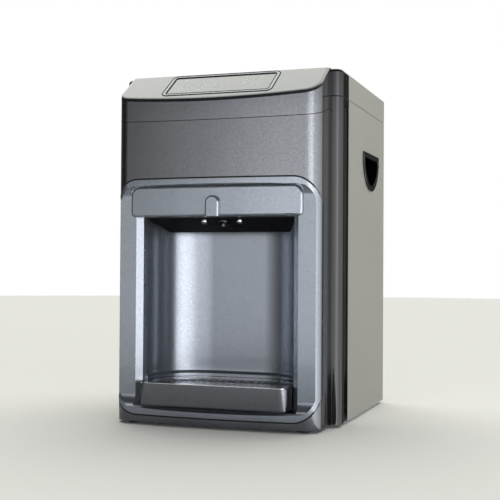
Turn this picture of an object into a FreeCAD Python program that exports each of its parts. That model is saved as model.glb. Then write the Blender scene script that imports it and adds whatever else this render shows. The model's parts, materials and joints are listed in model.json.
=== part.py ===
import FreeCAD, Part
import math
import os
from types import SimpleNamespace
import Sketcher
from FreeCAD import Placement, Rotation, Vector

# Countertop water dispenser, in millimetres. +Z is up, the front faces -Y, and the origin is the
# middle of the footprint on the worktop.

SIZES = {
    # Casing
    "body_width": (330, "across the side panels"),
    "body_depth": (365, "front of the bow to the back edge"),
    "body_height": (500, "worktop to the flat top"),
    "foot_height": (4, "rubber under the base plate"),
    "foot_radius": (11, "rubber foot"),
    "shell_wall": (3, "moulded casing wall"),
    "sheet_wall": (1.5, "pressed sheet wall"),
    "joint_gap": (0.4, "visible gap between casing parts"),
    "seat_gap": (0.3, "clearance of an inner part to its seat"),
    # Front module
    "module_step": (15.5, "side face to the side of the projecting front"),
    "module_reach": (70.5, "front of the bow to the groove"),
    "module_corner": (22, "vertical corner radius"),
    "front_bow": (11, "depth of the gentle front curve"),
    "cover_skirt": (38.5, "flat top to the joint of cover and sides"),
    "front_skirt": (75, "flat top to the joint of cover and front"),
    "front_seam_rise": (19, "climb of the front joint to the groove"),
    "slope_rise": (45, "flat top to the front edge of the facia slope"),
    "slope_run": (64, "depth of the facia slope"),
    # Corner pillars
    "groove_width": (2.5, "groove between the front and the pillar"),
    "groove_wing": (10, "pillar lip behind the groove"),
    "pillar_depth": (47, "groove to the side panel"),
    "pillar_corner": (12, "rounded front of the pillar"),
    "channel_start": (22, "groove to the channel"),
    "channel_width": (23, "recess beside the pillar"),
    "channel_depth": (5, "recess into the pillar"),
    "channel_top_gap": (10, "recess stops below the cover"),
    "trim_thickness": (2, "strip laid in the channel"),
    # Front bezel
    "bezel_bottom": (14, "lowest edge"),
    "bezel_top": (345, "highest edge"),
    "bezel_corner": (35, "corner radius seen from the front"),
    "bezel_depth": (32.5, "front of the bow to the bezel back"),
    "dish_depth": (16.5, "front of the bow to the dish floor"),
    "dish_wall": (2.5, "plate behind the dish floor"),
    "rim_side": (4, "rim width at the sides"),
    "rim_end": (7.5, "rim width at top and bottom"),
    "dish_corner": (30, "corner radius of the dish"),
    "dish_sweep": (20, "curve of the dish into the top and bottom rim"),
    "return_depth": (3, "bezel lip behind the bezel back"),
    "return_chamfer": (8, "slanted edge around the niche"),
    # Niche
    "niche_half": (112, "half width of the niche"),
    "niche_top": (292, "lower edge of the header"),
    "niche_back": (117.5, "front of the bow to the back wall"),
    "niche_corner": (72, "rounded back corners"),
    "niche_floor": (25.7, "floor under the tray"),
    "niche_roof": (300, "roof above the housing"),
    "cove_height": (70, "top of the cove"),
    "cove_radius": (8, "cove above the sill"),
    "sill_step": (2.5, "sill inside the niche wall"),
    "liner_wall": (2.5, "niche liner"),
    # Header and spout housing
    "header_half": (127, "half width of the header"),
    "header_height": (43, "header above the niche"),
    "header_front": (7, "front of the bow to the header"),
    "header_bow": (5, "depth of the header curve"),
    "header_corner": (14, "upper corner radius seen from the front"),
    "header_low_corner": (7, "lower corner radius"),
    "header_edge": (3.8, "rounded rim of the header"),
    "nose_radius": (10.25, "arched spout nose"),
    "nose_height": (29, "nose above the niche"),
    "nose_front": (0.5, "front of the bow to the nose"),
    "nose_fillet": (3, "rounded nose edge"),
    "ceiling_front": (32.9, "front of the bow to the housing"),
    "ceiling_run": (39, "depth of the sloping underside"),
    "ceiling_drop": (19.5, "fall of the sloping underside"),
    "ceiling_taper": (20, "housing narrower at its back edge, each side"),
    "nozzle_radius": (9, "outlet collar"),
    "nozzle_bore": (5, "outlet bore"),
    "nozzle_back": (49.5, "front of the bow to the nozzle"),
    "nozzle_proud": (1.5, "collar below the housing"),
    "cap_screw_radius": (4.2, "domed screw head"),
    "cap_screw_height": (2.6, "domed screw head"),
    "cap_screw_side": (26.5, "screw from the middle"),
    "cap_screw_along": (11, "screw down the slope"),
    # Drip tray
    "tray_side_gap": (1.5, "sill wall to the tray"),
    "tray_front": (0.5, "front of the bow to the tray"),
    "tray_length": (112, "front to back"),
    "tray_bottom": (26, "underside"),
    "tray_height": (33, "underside to rim"),
    "tray_corner": (10, "front corners"),
    "tray_wall": (2.5, "wall and floor"),
    "tray_chamfer": (3, "lower edge"),
    "tray_rebate": (2, "ledge for the grille"),
    "grille_depth": (3.5, "plate depth in the tray"),
    "grille_proud": (0.6, "plate above the rim"),
    "slot_width": (3.2, "grille slot"),
    "slot_length": (24, "grille slot"),
    "slot_pitch": (9, "between slots"),
    # Facia
    "panel_half": (81.5, "half width of the control bezel"),
    "panel_start": (13, "up the slope to its lower edge"),
    "panel_end": (75.5, "up the slope to its upper edge"),
    "panel_corner": (9, "corner radius"),
    "panel_rim": (5, "bezel ring width"),
    "panel_sink": (1.8, "depth sunk in the cover"),
    "overlay_thickness": (1.2, "printed overlay"),
    # Side handles
    "handle_start": (30, "front of the cup from the middle"),
    "handle_length": (95, "length of the cup mouth"),
    "handle_top": (393, "flat top edge"),
    "handle_drop": (46, "depth of the round bottom"),
    "handle_depth": (30, "cup into the body"),
    "handle_flange": (6, "rim around the mouth"),
    "handle_proud": (2.5, "rim outside the panel"),
    # Back
    "rear_recess": (17.5, "back edge to the rear panel"),
    "screw_inset": (13.5, "casing screws from the inner side faces"),
    "screw_low": (23, "lowest casing screws above the worktop"),
    "screw_high": (46, "highest casing screws below the cover"),
    "louvre_length": (110, "air slot"),
    "louvre_height": (5, "air slot"),
    "louvre_pitch": (12, "between slots"),
    "louvre_low": (35, "lower bank of slots above the worktop"),
    "louvre_high": (160, "upper bank of slots below the flat top"),
    "screw_radius": (2, "casing screw"),
    "screw_head_radius": (4.5, "casing screw"),
    "screw_reach": (8, "casing screw"),
    "inlet_bore": (3.2, "quarter inch tube"),
    "inlet_radius": (9, "push fitting body"),
    "inlet_side": (108.9, "water inlet from the middle"),
    "inlet_height": (235, "water inlet above the worktop"),
    "drain_bore": (5, "drain spout"),
    "drain_radius": (8, "drain spout outside"),
    "drain_side": (108.9, "drain from the middle"),
    "drain_height": (35, "drain above the worktop"),
    "power_side": (99, "mains inlet and switches from the middle"),
    "power_height": (230, "mains inlet above the worktop"),
    "switch_height": (270, "switches above the worktop"),
    "cap_radius": (11, "drain cap"),
    "rocker_half_width": (6, "rocker switch"),
    "rocker_half_height": (10, "rocker switch"),
    # Cooling
    "compressor_radius": (54, "shell"),
    "compressor_height": (135, "shell"),
    "compressor_side": (80.85, "compressor left of the middle"),
    "compressor_inset": (91.25, "compressor in front of the back edge"),
    "condenser_side": (69.3, "condenser right of the middle"),
    "fan_radius": (50, "blade tip"),
    "fan_hub": (15, "hub"),
    "fan_shaft": (3, "motor shaft"),
    "shaft_gap": (0.05, "hub on the shaft"),
    "blade_thickness": (2, "fan blade"),
    "fin_pitch": (6, "condenser fins"),
    "coil_tube": (4, "condenser tube"),
    # Tanks
    "shelf_height": (287, "tank shelf"),
    "tank_inset": (132.5, "tanks in front of the back edge"),
    "cold_side": (47.85, "cold tank left of the middle"),
    "cold_radius": (58, "cold tank"),
    "cold_height": (122, "cold tank"),
    "cold_jacket": (74, "foam around the cold tank"),
    "evaporator_tube": (3, "copper tube"),
    "evaporator_pitch": (8, "between turns"),
    "hot_side": (77.9, "hot tank right of the middle"),
    "hot_radius": (40, "hot tank"),
    "hot_height": (105, "hot tank"),
    "hot_jacket": (46, "felt around the hot tank"),
    "water_tube": (4, "silicone tube"),
    "copper_tube": (2.5, "refrigerant tube"),
}


class Size:
    """A length that carries its number and the sheet formula it comes from."""

    def __init__(self, number, text):
        self.number = number
        self.text = text

    def __float__(self):
        return float(self.number)

    def join(self, sign, other, number):
        return Size(number, f"({self.text} {sign} {words(other)})")

    def __add__(self, other):
        return self.join("+", other, self.number + float(other))

    def __sub__(self, other):
        return self.join("-", other, self.number - float(other))

    def __mul__(self, other):
        return self.join("*", other, self.number * float(other))

    def __truediv__(self, other):
        return self.join("/", other, self.number / float(other))

    def __radd__(self, other):
        return self + other

    def __rsub__(self, other):
        return -self + other

    def __rmul__(self, other):
        return self * other

    def __neg__(self):
        return Size(-self.number, f"(-1 * {self.text})")


def words(length):
    """The expression that stands for a length."""
    return length.text if isinstance(length, Size) else repr(float(length))


doc = FreeCAD.newDocument("water_dispenser")
sheet = doc.addObject("Spreadsheet::Sheet", "sizes")
mm = SimpleNamespace()
for row, (alias, (number, meaning)) in enumerate(SIZES.items(), 1):
    sheet.set(f"A{row}", alias)
    sheet.set(f"B{row}", str(number))
    sheet.setAlias(f"B{row}", alias)
    sheet.set(f"C{row}", meaning)
    setattr(mm, alias, Size(number, f"sizes.{alias}"))
doc.recompute()


# Building blocks -------------------------------------------------------------------------------

FACING = {
    "X": Rotation(Vector(0, 1, 0), 90),
    "Y": Rotation(Vector(1, 0, 0), -90),
    "Z": Rotation(),
}
PLANES = {"X": "YZ_Plane", "Y": "XZ_Plane", "Z": "XY_Plane"}
TOLERANCE = 0.01


def bind(thing, **lengths):
    """Ties properties to the sheet; a double underscore stands for a dot."""
    for path, length in lengths.items():
        thing.setExpression(path.replace("__", "."), words(length))


def move(thing, x, y, z):
    bind(thing, Placement__Base__x=x, Placement__Base__y=y, Placement__Base__z=z)


def block(name, x, y, z):
    """A box between two planes along each axis."""
    box = doc.addObject("Part::Box", name)
    bind(box, Length=x[1] - x[0], Width=y[1] - y[0], Height=z[1] - z[0])
    move(box, x[0], y[0], z[0])
    return box


def rod(name, axis, radius, centre, reach, top_radius=None):
    """A cylinder, or a cone, along an axis; centre gives the other two coordinates in order."""
    kind = "Part::Cylinder" if top_radius is None else "Part::Cone"
    thing = doc.addObject(kind, name)
    thing.Placement = Placement(Vector(), FACING[axis])
    bind(thing, Height=reach[1] - reach[0])
    if top_radius is None:
        bind(thing, Radius=radius)
    else:
        bind(thing, Radius1=radius, Radius2=top_radius)
    place = list(centre)
    place.insert("XYZ".index(axis), reach[0])
    move(thing, *place)
    return thing


def ring(name, radius, tube, centre):
    """A torus lying flat."""
    thing = doc.addObject("Part::Torus", name)
    bind(thing, Radius1=radius, Radius2=tube)
    move(thing, *centre)
    return thing


def fuse(name, *parts):
    thing = doc.addObject("Part::MultiFuse", name)
    thing.Shapes = list(parts)
    return thing


def group(name, parts):
    """Separate solids that share one node."""
    thing = doc.addObject("Part::Compound", name)
    thing.Links = list(parts)
    return thing


def cut(name, base, *tools):
    thing = doc.addObject("Part::Cut", name)
    thing.Base = base
    thing.Tool = tools[0] if len(tools) == 1 else fuse(f"{name}_tools", *tools)
    return thing


def common(name, first, second):
    thing = doc.addObject("Part::Common", name)
    thing.Base = first
    thing.Tool = second
    return thing


def pipe(name, axis, outer, inner, centre, reach):
    bore = rod(f"{name}_bore", axis, inner, centre, reach)
    return cut(name, rod(f"{name}_outside", axis, outer, centre, reach), bore)


def origin_plane(body, axis):
    return next(plane for plane in body.Origin.OriginFeatures if plane.Role == PLANES[axis])


def end_at(sketch, side, point):
    """Which end of a sketch side lies at the point."""
    return 1 if (sketch.getPoint(side, 1) - point).Length < TOLERANCE else 2


def hold_point(sketch, side, end, corner):
    """Fixes one end of a side to the sheet."""
    for kind, length in zip(("DistanceX", "DistanceY"), corner):
        number = sketch.addConstraint(Sketcher.Constraint(kind, -1, 1, side, end, float(length)))
        sketch.setExpression(f"Constraints[{number}]", words(length))


def bow_through(start, end, radius):
    """The middle of an arc, to the right of start to end, or to the left with a negative radius."""
    chord = end - start
    half = chord.Length / 2
    sagitta = abs(radius) - math.sqrt(radius * radius - half * half)
    outward = Vector(chord.y, -chord.x, 0).normalize()
    return (start + end) / 2 + outward * math.copysign(sagitta, radius)


def outline(body, axis, level, corners, bows):
    """A closed sketch across an axis; bows gives the radius of each side that is an arc."""
    sketch = body.newObject("Sketcher::SketchObject", f"{body.Name}_sketch")
    sketch.AttachmentSupport = [(origin_plane(body, axis), "")]
    sketch.MapMode = "FlatFace"
    bind(sketch, AttachmentOffset__Base__z=-level if axis == "Y" else level)
    points = [Vector(float(across), float(up), 0) for across, up in corners]
    count = len(points)
    for side, start in enumerate(points):
        end = points[(side + 1) % count]
        if side in bows:
            middle = bow_through(start, end, float(bows[side]))
            sketch.addGeometry(Part.Arc(start, middle, end), False)
        else:
            sketch.addGeometry(Part.LineSegment(start, end), False)
    for side in range(count):
        after = (side + 1) % count
        here = end_at(sketch, side, points[after])
        there = end_at(sketch, after, points[after])
        sketch.addConstraint(Sketcher.Constraint("Coincident", side, here, after, there))
        hold_point(sketch, after, there, corners[after])
        if side in bows:
            radius = bows[side] if float(bows[side]) > 0 else -bows[side]
            number = sketch.addConstraint(Sketcher.Constraint("Radius", side, float(radius)))
            sketch.setExpression(f"Constraints[{number}]", words(radius))
    return sketch


def prism(name, axis, corners, reach, bows=None):
    """A body whose outline is carried along an axis from reach[0] to reach[1]."""
    body = doc.addObject("PartDesign::Body", name)
    pad = body.newObject("PartDesign::Pad", f"{name}_pad")
    pad.Profile = outline(body, axis, reach[0], corners, bows or {})
    pad.Reversed = axis == "Y"
    bind(pad, Length=reach[1] - reach[0])
    body.Tip = pad
    return body


def dress(body, kind, length, chosen):
    """Fillets or chamfers the edges of a body that the test picks."""
    doc.recompute()
    names = [f"Edge{n}" for n, edge in enumerate(body.Shape.Edges, 1) if chosen(edge)]
    base = body.Tip
    feature = body.newObject(f"PartDesign::{kind}", f"{body.Name}_{kind.lower()}_{len(body.Group)}")
    feature.Base = (base, names)
    bind(feature, **{"Radius" if kind == "Fillet" else "Size": length})
    body.Tip = feature
    return body


def soften(name, base, radius, chosen):
    """The same on a plain solid or a boolean."""
    doc.recompute()
    thing = doc.addObject("Part::Fillet", name)
    thing.Base = base
    size = float(radius)
    edges = enumerate(base.Shape.Edges, 1)
    thing.Edges = [(n, size, size) for n, edge in edges if chosen(edge)]
    return thing


def along(axis, edge):
    """A straight edge along an axis."""
    if len(edge.Vertexes) != 2 or not isinstance(edge.Curve, Part.Line):
        return False
    run = edge.Vertexes[1].Point - edge.Vertexes[0].Point
    return abs(abs(run["XYZ".index(axis)]) - run.Length) < TOLERANCE


def lies(edge, **planes):
    """An edge whose every end lies in the planes given, such as y=-50."""
    ends = [vertex.Point for vertex in edge.Vertexes]
    return all(
        abs(getattr(end, axis) - float(level)) < TOLERANCE
        for axis, level in planes.items()
        for end in ends
    )


def rounded_window(name, axis, x, z, reach, radius):
    """A rectangular prism with its four long edges rounded."""
    corners = [(x[0], z[0]), (x[1], z[0]), (x[1], z[1]), (x[0], z[1])]
    return dress(prism(name, axis, corners, reach), "Fillet", radius, lambda edge: along(axis, edge))


def tilt(thing, degrees, x, y, z):
    """Leans a piece about the X axis and moves it."""
    turn = Rotation(Vector(1, 0, 0), degrees)
    thing.Placement = Placement(Vector(), turn.multiply(thing.Placement.Rotation))
    move(thing, x, y, z)
    return thing


nodes = []


def node(thing, name):
    """Names a finished piece, which is then written to a file of that name."""
    thing.Label = name
    nodes.append(thing)
    return thing


# Shared planes ---------------------------------------------------------------------------------

side = mm.body_width / 2
front = -mm.body_depth / 2
back = mm.body_depth / 2
floor = mm.foot_height
groove = front + mm.module_reach
pillar_back = groove + mm.pillar_depth
rear_face = back - mm.rear_recess
inner_side = side - mm.sheet_wall
bezel_back = front + mm.bezel_depth
jamb = front + mm.dish_depth
lip_back = bezel_back + mm.return_depth
niche_back = front + mm.niche_back
liner_front = lip_back + mm.seat_gap
header_top = mm.niche_top + mm.header_height
nozzle_top = mm.niche_roof - mm.shell_wall
module_half = side - mm.module_step
pillar_inner = module_half + mm.groove_width
seam_height = mm.body_height - mm.cover_skirt
front_seam_height = mm.body_height - mm.front_skirt
slope_foot_height = mm.body_height - mm.slope_rise
tray_half = mm.niche_half - mm.sill_step - mm.tray_side_gap
tray_back_corner = mm.niche_corner - mm.sill_step - mm.tray_side_gap
slope_degrees = math.degrees(math.atan2(float(mm.slope_rise), float(mm.slope_run)))
ceiling_degrees = -math.degrees(math.atan2(float(mm.ceiling_drop), float(mm.ceiling_run)))
FAR = 20  # how far a cutting piece reaches past what it cuts


def bow_radius(half, bow):
    return (half * half + bow * bow) / (bow * 2)


def module_prism(name, inset, reach, back_plane):
    """The plan of the projecting front: straight sides, round corners and a bowed face."""
    half = module_half - inset
    nose = front + inset
    shoulder = nose + mm.front_bow
    corners = [(-half, back_plane), (-half, shoulder), (half, shoulder), (half, back_plane)]
    radius = bow_radius(half, mm.front_bow)
    body = prism(name, "Z", corners, reach, {1: radius})
    return dress(
        body,
        "Fillet",
        mm.module_corner - inset,
        lambda edge: along("Z", edge) and lies(edge, y=shoulder),
    )


def seam_tool(name, gap, above):
    """The space on one side of the climbing front joint, across the whole width."""
    low = front_seam_height + gap
    high = low + mm.front_seam_rise
    limit = mm.body_height + FAR if above else mm.bezel_top + FAR
    ahead = front - FAR
    climb = mm.front_seam_rise / mm.module_reach
    corners = [(ahead, low - climb * FAR), (groove + FAR, high + climb * FAR)]
    corners += [(groove + FAR, limit), (ahead, limit)]
    return prism(name, "X", corners if above else corners[::-1], (-side - FAR, side + FAR))


def slope_tool(name, drop):
    """The space above the facia slope, lowered by drop."""
    steep = mm.slope_rise / mm.slope_run
    top = mm.body_height + FAR
    foot = slope_foot_height - drop
    ridge = front + mm.slope_run + FAR
    corners = [(front - FAR, foot - steep * FAR), (ridge, foot + mm.slope_rise + steep * FAR)]
    corners += [(ridge, top + FAR), (front - FAR, top + FAR)]
    return prism(name, "X", corners, (-side - FAR, side + FAR))


# Casing ----------------------------------------------------------------------------------------


def make_front_panel():
    """The dark moulding around the bezel: fascia band, module sides and plinth."""
    top = front_seam_height + mm.front_seam_rise
    outside = module_prism("front_outside", 0, (floor, top), groove)
    inside = module_prism("front_inside", mm.shell_wall, (floor - FAR, top + FAR), groove + FAR)
    shell = cut("front_shell", outside, inside, seam_tool("front_seam", -mm.joint_gap, True))
    gap = mm.joint_gap
    window = rounded_window(
        "front_window",
        "Y",
        (-module_half - gap, module_half + gap),
        (mm.bezel_bottom - gap, mm.bezel_top + gap),
        (front - FAR, bezel_back + gap * 2),
        mm.bezel_corner + gap,
    )
    return node(cut("front_panel_cut", shell, window), "front_panel")


def make_front_bezel():
    """The silver frame: a rim flush with the front, a flat dish and a slanted edge to the niche."""
    reach = (mm.bezel_bottom, mm.bezel_top)
    outside = module_prism("bezel_outside", 0, reach, bezel_back)
    window = rounded_window(
        "bezel_window", "Y", (-module_half, module_half), reach,
        (front - FAR, bezel_back + FAR), mm.bezel_corner,
    )
    dish_half = module_half - mm.rim_side
    dish_low = mm.bezel_bottom + mm.rim_end
    dish_high = mm.bezel_top - mm.rim_end
    dish_outline = rounded_window(
        "bezel_dish_outline", "Y", (-dish_half, dish_half), (dish_low, dish_high),
        (front - FAR, jamb), mm.dish_corner,
    )
    trough = block("bezel_dish_trough", (-side, side), (front - FAR, jamb), (dish_low, dish_high))
    sweep = soften(
        "bezel_dish_sweep", trough, mm.dish_sweep,
        lambda edge: along("X", edge) and lies(edge, y=jamb),
    )
    dish = common("bezel_dish", dish_outline, sweep)
    flare = mm.niche_half + mm.return_chamfer
    lip = block(
        "bezel_lip", (-flare, flare), (bezel_back, lip_back),
        (mm.niche_floor - mm.liner_wall / 2, mm.niche_top),
    )
    tangent = jamb + mm.return_chamfer
    plan = [(-flare, front - FAR), (flare, front - FAR), (flare, jamb), (mm.niche_half, tangent)]
    plan += [(mm.niche_half, lip_back + FAR), (-mm.niche_half, lip_back + FAR)]
    plan += [(-mm.niche_half, tangent), (-flare, jamb)]
    mouth = prism("bezel_mouth", "Z", plan, (mm.niche_floor, mm.niche_top))
    wall = mm.shell_wall
    pocket_window = rounded_window(
        "bezel_pocket_window", "Y", (-module_half + wall * 2, module_half - wall * 2),
        (mm.bezel_bottom + wall, mm.bezel_top - wall),
        (jamb + mm.dish_wall, bezel_back + FAR), mm.bezel_corner - wall,
    )
    keep = block(
        "bezel_mouth_wall", (-flare, flare), (front, lip_back + FAR), (0, mm.niche_top + mm.dish_wall)
    )
    pocket = cut("bezel_pocket", pocket_window, keep)
    seat = rounded_window(
        "bezel_header_seat", "Y", (-mm.header_half - mm.joint_gap, mm.header_half + mm.joint_gap),
        (mm.niche_top - mm.joint_gap, header_top + mm.joint_gap), (front - FAR, jamb), mm.header_low_corner,
    )
    framed = common("bezel_frame", outside, window)
    dished = cut("bezel_dished", framed, dish, seat, pocket)
    lipped = fuse("bezel_lipped", dished, lip)
    return node(cut("front_bezel_cut", lipped, mouth), "front_bezel")


def make_header_cover():
    """The silver block over the niche with the arched nose of the spout."""
    nose_line = front + mm.header_front
    shoulder = nose_line + mm.header_bow
    seat = jamb - mm.seat_gap
    half = mm.header_half
    wall = mm.shell_wall

    def bowed(name, inset, back_plane):
        edge = half - inset
        line = shoulder + inset
        corners = [(-edge, back_plane), (-edge, line), (edge, line), (edge, back_plane)]
        reach = (mm.niche_top - FAR, header_top + FAR)
        return prism(name, "Z", corners, reach, {1: bow_radius(edge, mm.header_bow)})

    def slab(name, inset, ends):
        low = mm.niche_top + inset
        high = header_top - inset
        edge = half - inset
        body = prism(name, "Y", [(-edge, low), (edge, low), (edge, high), (-edge, high)], ends)
        dress(body, "Fillet", mm.header_corner - inset, lambda e: along("Y", e) and lies(e, z=high))
        return dress(
            body, "Fillet", mm.header_low_corner - inset, lambda e: along("Y", e) and lies(e, z=low)
        )

    block_out = common(
        "header_bowed", slab("header_slab", 0, (front, seat)), bowed("header_bow_tool", 0, seat)
    )
    outside = soften(
        "header_outside", block_out, mm.header_edge,
        lambda e: not along("Y", e) and not lies(e, y=seat)
        and any(vertex.Y < float(shoulder) + 1 for vertex in e.Vertexes)
        and not any(abs(vertex.Y - float(seat)) < TOLERANCE for vertex in e.Vertexes),
    )
    inside = common(
        "header_inside", slab("header_inner_slab", wall, (front, seat + FAR)),
        bowed("header_inner_bow", wall, seat + FAR),
    )
    arch_spring = mm.niche_top + mm.nose_height - mm.nose_radius
    arch = [(-mm.nose_radius, mm.niche_top), (mm.nose_radius, mm.niche_top)]
    arch += [(mm.nose_radius, arch_spring), (-mm.nose_radius, arch_spring)]
    nose_tip = front + mm.nose_front
    nose_foot = nose_line + wall / 2
    pillar = prism("nose_pillar", "Y", arch, (nose_tip, nose_foot))
    dome = rod("nose_dome", "Y", mm.nose_radius, (0, arch_spring), (nose_tip, nose_foot))
    nose = soften(
        "nose", fuse("nose_whole", pillar, dome), mm.nose_fillet,
        lambda e: lies(e, y=nose_tip) and not lies(e, z=mm.niche_top) and not lies(e, z=arch_spring),
    )
    shell = cut("header_shell", outside, inside)
    return node(fuse("header_fused", shell, nose), "header_cover")


def make_niche_liner():
    """The silver lining: round back corners, a cove over the sill, a floor for the tray."""
    wall = mm.liner_wall
    corner = mm.niche_corner

    def hollow(name, inset, reach):
        half = mm.niche_half - inset
        end = niche_back - inset
        corners = [(-half, liner_front - FAR), (half, liner_front - FAR), (half, end), (-half, end)]
        body = prism(name, "Z", corners, reach)
        return dress(
            body, "Fillet", corner - inset, lambda edge: along("Z", edge) and lies(edge, y=end)
        )

    upper = hollow("niche_upper", 0, (mm.cove_height - mm.cove_radius, mm.niche_roof))
    dress(
        upper, "Fillet", mm.cove_radius,
        lambda edge: lies(edge, z=mm.cove_height - mm.cove_radius)
        and not lies(edge, y=liner_front - FAR),
    )
    lower = hollow("niche_lower", mm.sill_step, (mm.niche_floor, mm.cove_height))
    outside = hollow("niche_outside", -wall, (mm.niche_floor - wall, mm.niche_roof + wall))
    trim = block(
        "niche_front_trim", (-side, side), (liner_front - FAR * 2, liner_front), (0, mm.body_height)
    )
    feed = rod(
        "niche_feed_hole", "Z", mm.nozzle_radius + 1, (0, front + mm.nozzle_back),
        (mm.niche_roof - 1, mm.niche_roof + wall + 1),
    )
    return node(cut("niche_liner_cut", outside, upper, lower, trim, feed), "niche_liner")


def make_nozzle_housing():
    """The black ceiling that falls and narrows towards the back of the niche."""
    start = front + mm.ceiling_front
    end = start + mm.ceiling_run
    gap = mm.joint_gap
    top = mm.niche_roof - mm.seat_gap
    lip = mm.niche_top - mm.joint_gap
    wedge = doc.addObject("Part::Wedge", "housing_wedge")
    half = mm.niche_half - gap
    back_half = mm.niche_half - mm.ceiling_taper
    bind(wedge, Xmin=-half, Xmax=half, Ymin=start, Ymax=end, Zmin=lip, Zmax=top)
    bind(wedge, X2min=-back_half, X2max=back_half, Z2min=lip - mm.ceiling_drop, Z2max=top)
    middle = (0, front + mm.nozzle_back)
    bore = rod(
        "housing_bore", "Z", mm.nozzle_radius + mm.seat_gap, middle,
        (mm.niche_top - FAR * 2, mm.body_height),
    )
    return node(cut("nozzle_housing_cut", wedge, bore), "nozzle_housing")


def make_nozzle():
    """The outlet collar, cut parallel to the sloping underside, with a closed top."""
    start = front + mm.ceiling_front
    end = start + mm.ceiling_run
    steep = mm.ceiling_drop / mm.ceiling_run
    level = mm.niche_top - mm.joint_gap - mm.nozzle_proud
    corners = [(start - FAR, level + steep * FAR), (end, level - mm.ceiling_drop)]
    corners += [(end, nozzle_top), (start - FAR, nozzle_top)]
    middle = (0, front + mm.nozzle_back)
    low = mm.niche_top - mm.ceiling_drop - FAR
    collar = rod("nozzle_collar", "Z", mm.nozzle_radius, middle, (low, mm.niche_top + FAR))
    bore = rod("nozzle_bore_cut", "Z", mm.nozzle_bore, middle, (low, nozzle_top - mm.shell_wall))
    trimmed = common("nozzle_trimmed", collar, prism("nozzle_trim", "X", corners, (-side, side)))
    return node(cut("nozzle_cut", trimmed, bore), "nozzle")


def make_nozzle_screws():
    """Domed screws in the sloping underside."""
    heads = []
    for name, way in (("left", -1), ("right", 1)):
        head = rod(
            f"{name}_cap_screw_blank", "Z", mm.cap_screw_radius, (0, 0), (0, mm.cap_screw_height)
        )
        dome = soften(
            f"{name}_cap_screw", head, mm.cap_screw_height * 0.8, lambda edge: lies(edge, z=0)
        )
        turn = math.radians(ceiling_degrees)
        along_slope = mm.cap_screw_along * math.cos(turn)
        down_slope = mm.cap_screw_along * math.sin(turn)
        sunk = mm.cap_screw_height + mm.seat_gap / 3
        head_y = front + mm.ceiling_front + along_slope + sunk * math.sin(turn)
        head_z = mm.niche_top - mm.joint_gap + down_slope - sunk * math.cos(turn)
        tilt(dome, ceiling_degrees, way * mm.cap_screw_side, head_y, head_z)
        heads.append(dome)
    return node(group("nozzle_screw_heads", heads), "nozzle_screws")


def tray_plan(name, inset, reach):
    """The tray's plan: square front with small corners, round back."""
    half = tray_half - inset
    start = front + mm.tray_front + inset
    end = front + mm.tray_front + mm.tray_length - inset
    body = prism(name, "Z", [(-half, start), (half, start), (half, end), (-half, end)], reach)
    front_corner = lambda edge: along("Z", edge) and lies(edge, y=start)
    back_corner = lambda edge: along("Z", edge) and lies(edge, y=end)
    dress(body, "Fillet", mm.tray_corner - inset, front_corner)
    return dress(body, "Fillet", tray_back_corner - inset, back_corner)


def make_drip_tray():
    """The pull-out tray with a ledge for its grille."""
    top = mm.tray_bottom + mm.tray_height
    outside = tray_plan("tray_outside", 0, (mm.tray_bottom, top))
    dress(outside, "Chamfer", mm.tray_chamfer, lambda edge: lies(edge, z=mm.tray_bottom))
    ledge = mm.tray_wall + mm.tray_rebate
    basin = tray_plan("tray_basin", ledge, (mm.tray_bottom + mm.tray_wall, top + FAR))
    rebate = tray_plan("tray_rebate_cut", mm.tray_wall, (top - mm.grille_depth, top + FAR))
    return node(cut("drip_tray_cut", outside, basin, rebate), "drip_tray")


def make_drip_grille():
    """The bright plate with rows of slots."""
    seat = mm.tray_bottom + mm.tray_height - mm.grille_depth + mm.seat_gap / 3
    top = mm.tray_bottom + mm.tray_height + mm.grille_proud
    plate = tray_plan("grille_plate", mm.tray_wall + mm.joint_gap, (seat, top))
    doc.recompute()
    middle = front + mm.tray_front + mm.tray_length / 2
    slots = []
    for line in range(3):
        row_y = middle + (line - 1) * mm.slot_length * 1.25
        for place in range(-9, 10):
            x = place * mm.slot_pitch
            slots.append(
                block(
                    f"slot_{line}_{place + 9}", (x - mm.slot_width / 2, x + mm.slot_width / 2),
                    (row_y - mm.slot_length / 2, row_y + mm.slot_length / 2), (seat - 1, top + 1),
                )
            )
    return node(cut("drip_grille_cut", plate, *slots), "drip_grille")


def cover_block(name, inset, reach):
    """The cover over the main body, with round front corners."""
    half = side - inset
    start = groove + mm.shell_wall - mm.shell_wall / 3 + inset
    end = back - inset
    body = prism(name, "Z", [(-half, start), (half, start), (half, end), (-half, end)], reach)
    return dress(
        body, "Fillet", mm.pillar_corner - inset, lambda edge: along("Z", edge) and lies(edge, y=start)
    )


def facia_plate(name, inset, depth):
    """A rounded plate on the facia slope; depth is its lowest and highest face from the slope."""
    half = mm.panel_half - inset
    plate = rounded_window(
        name, "Z", (-half, half), (mm.panel_start + inset, mm.panel_end - inset), depth,
        mm.panel_corner - inset,
    )
    return tilt(plate, slope_degrees, 0, front, slope_foot_height)


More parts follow.
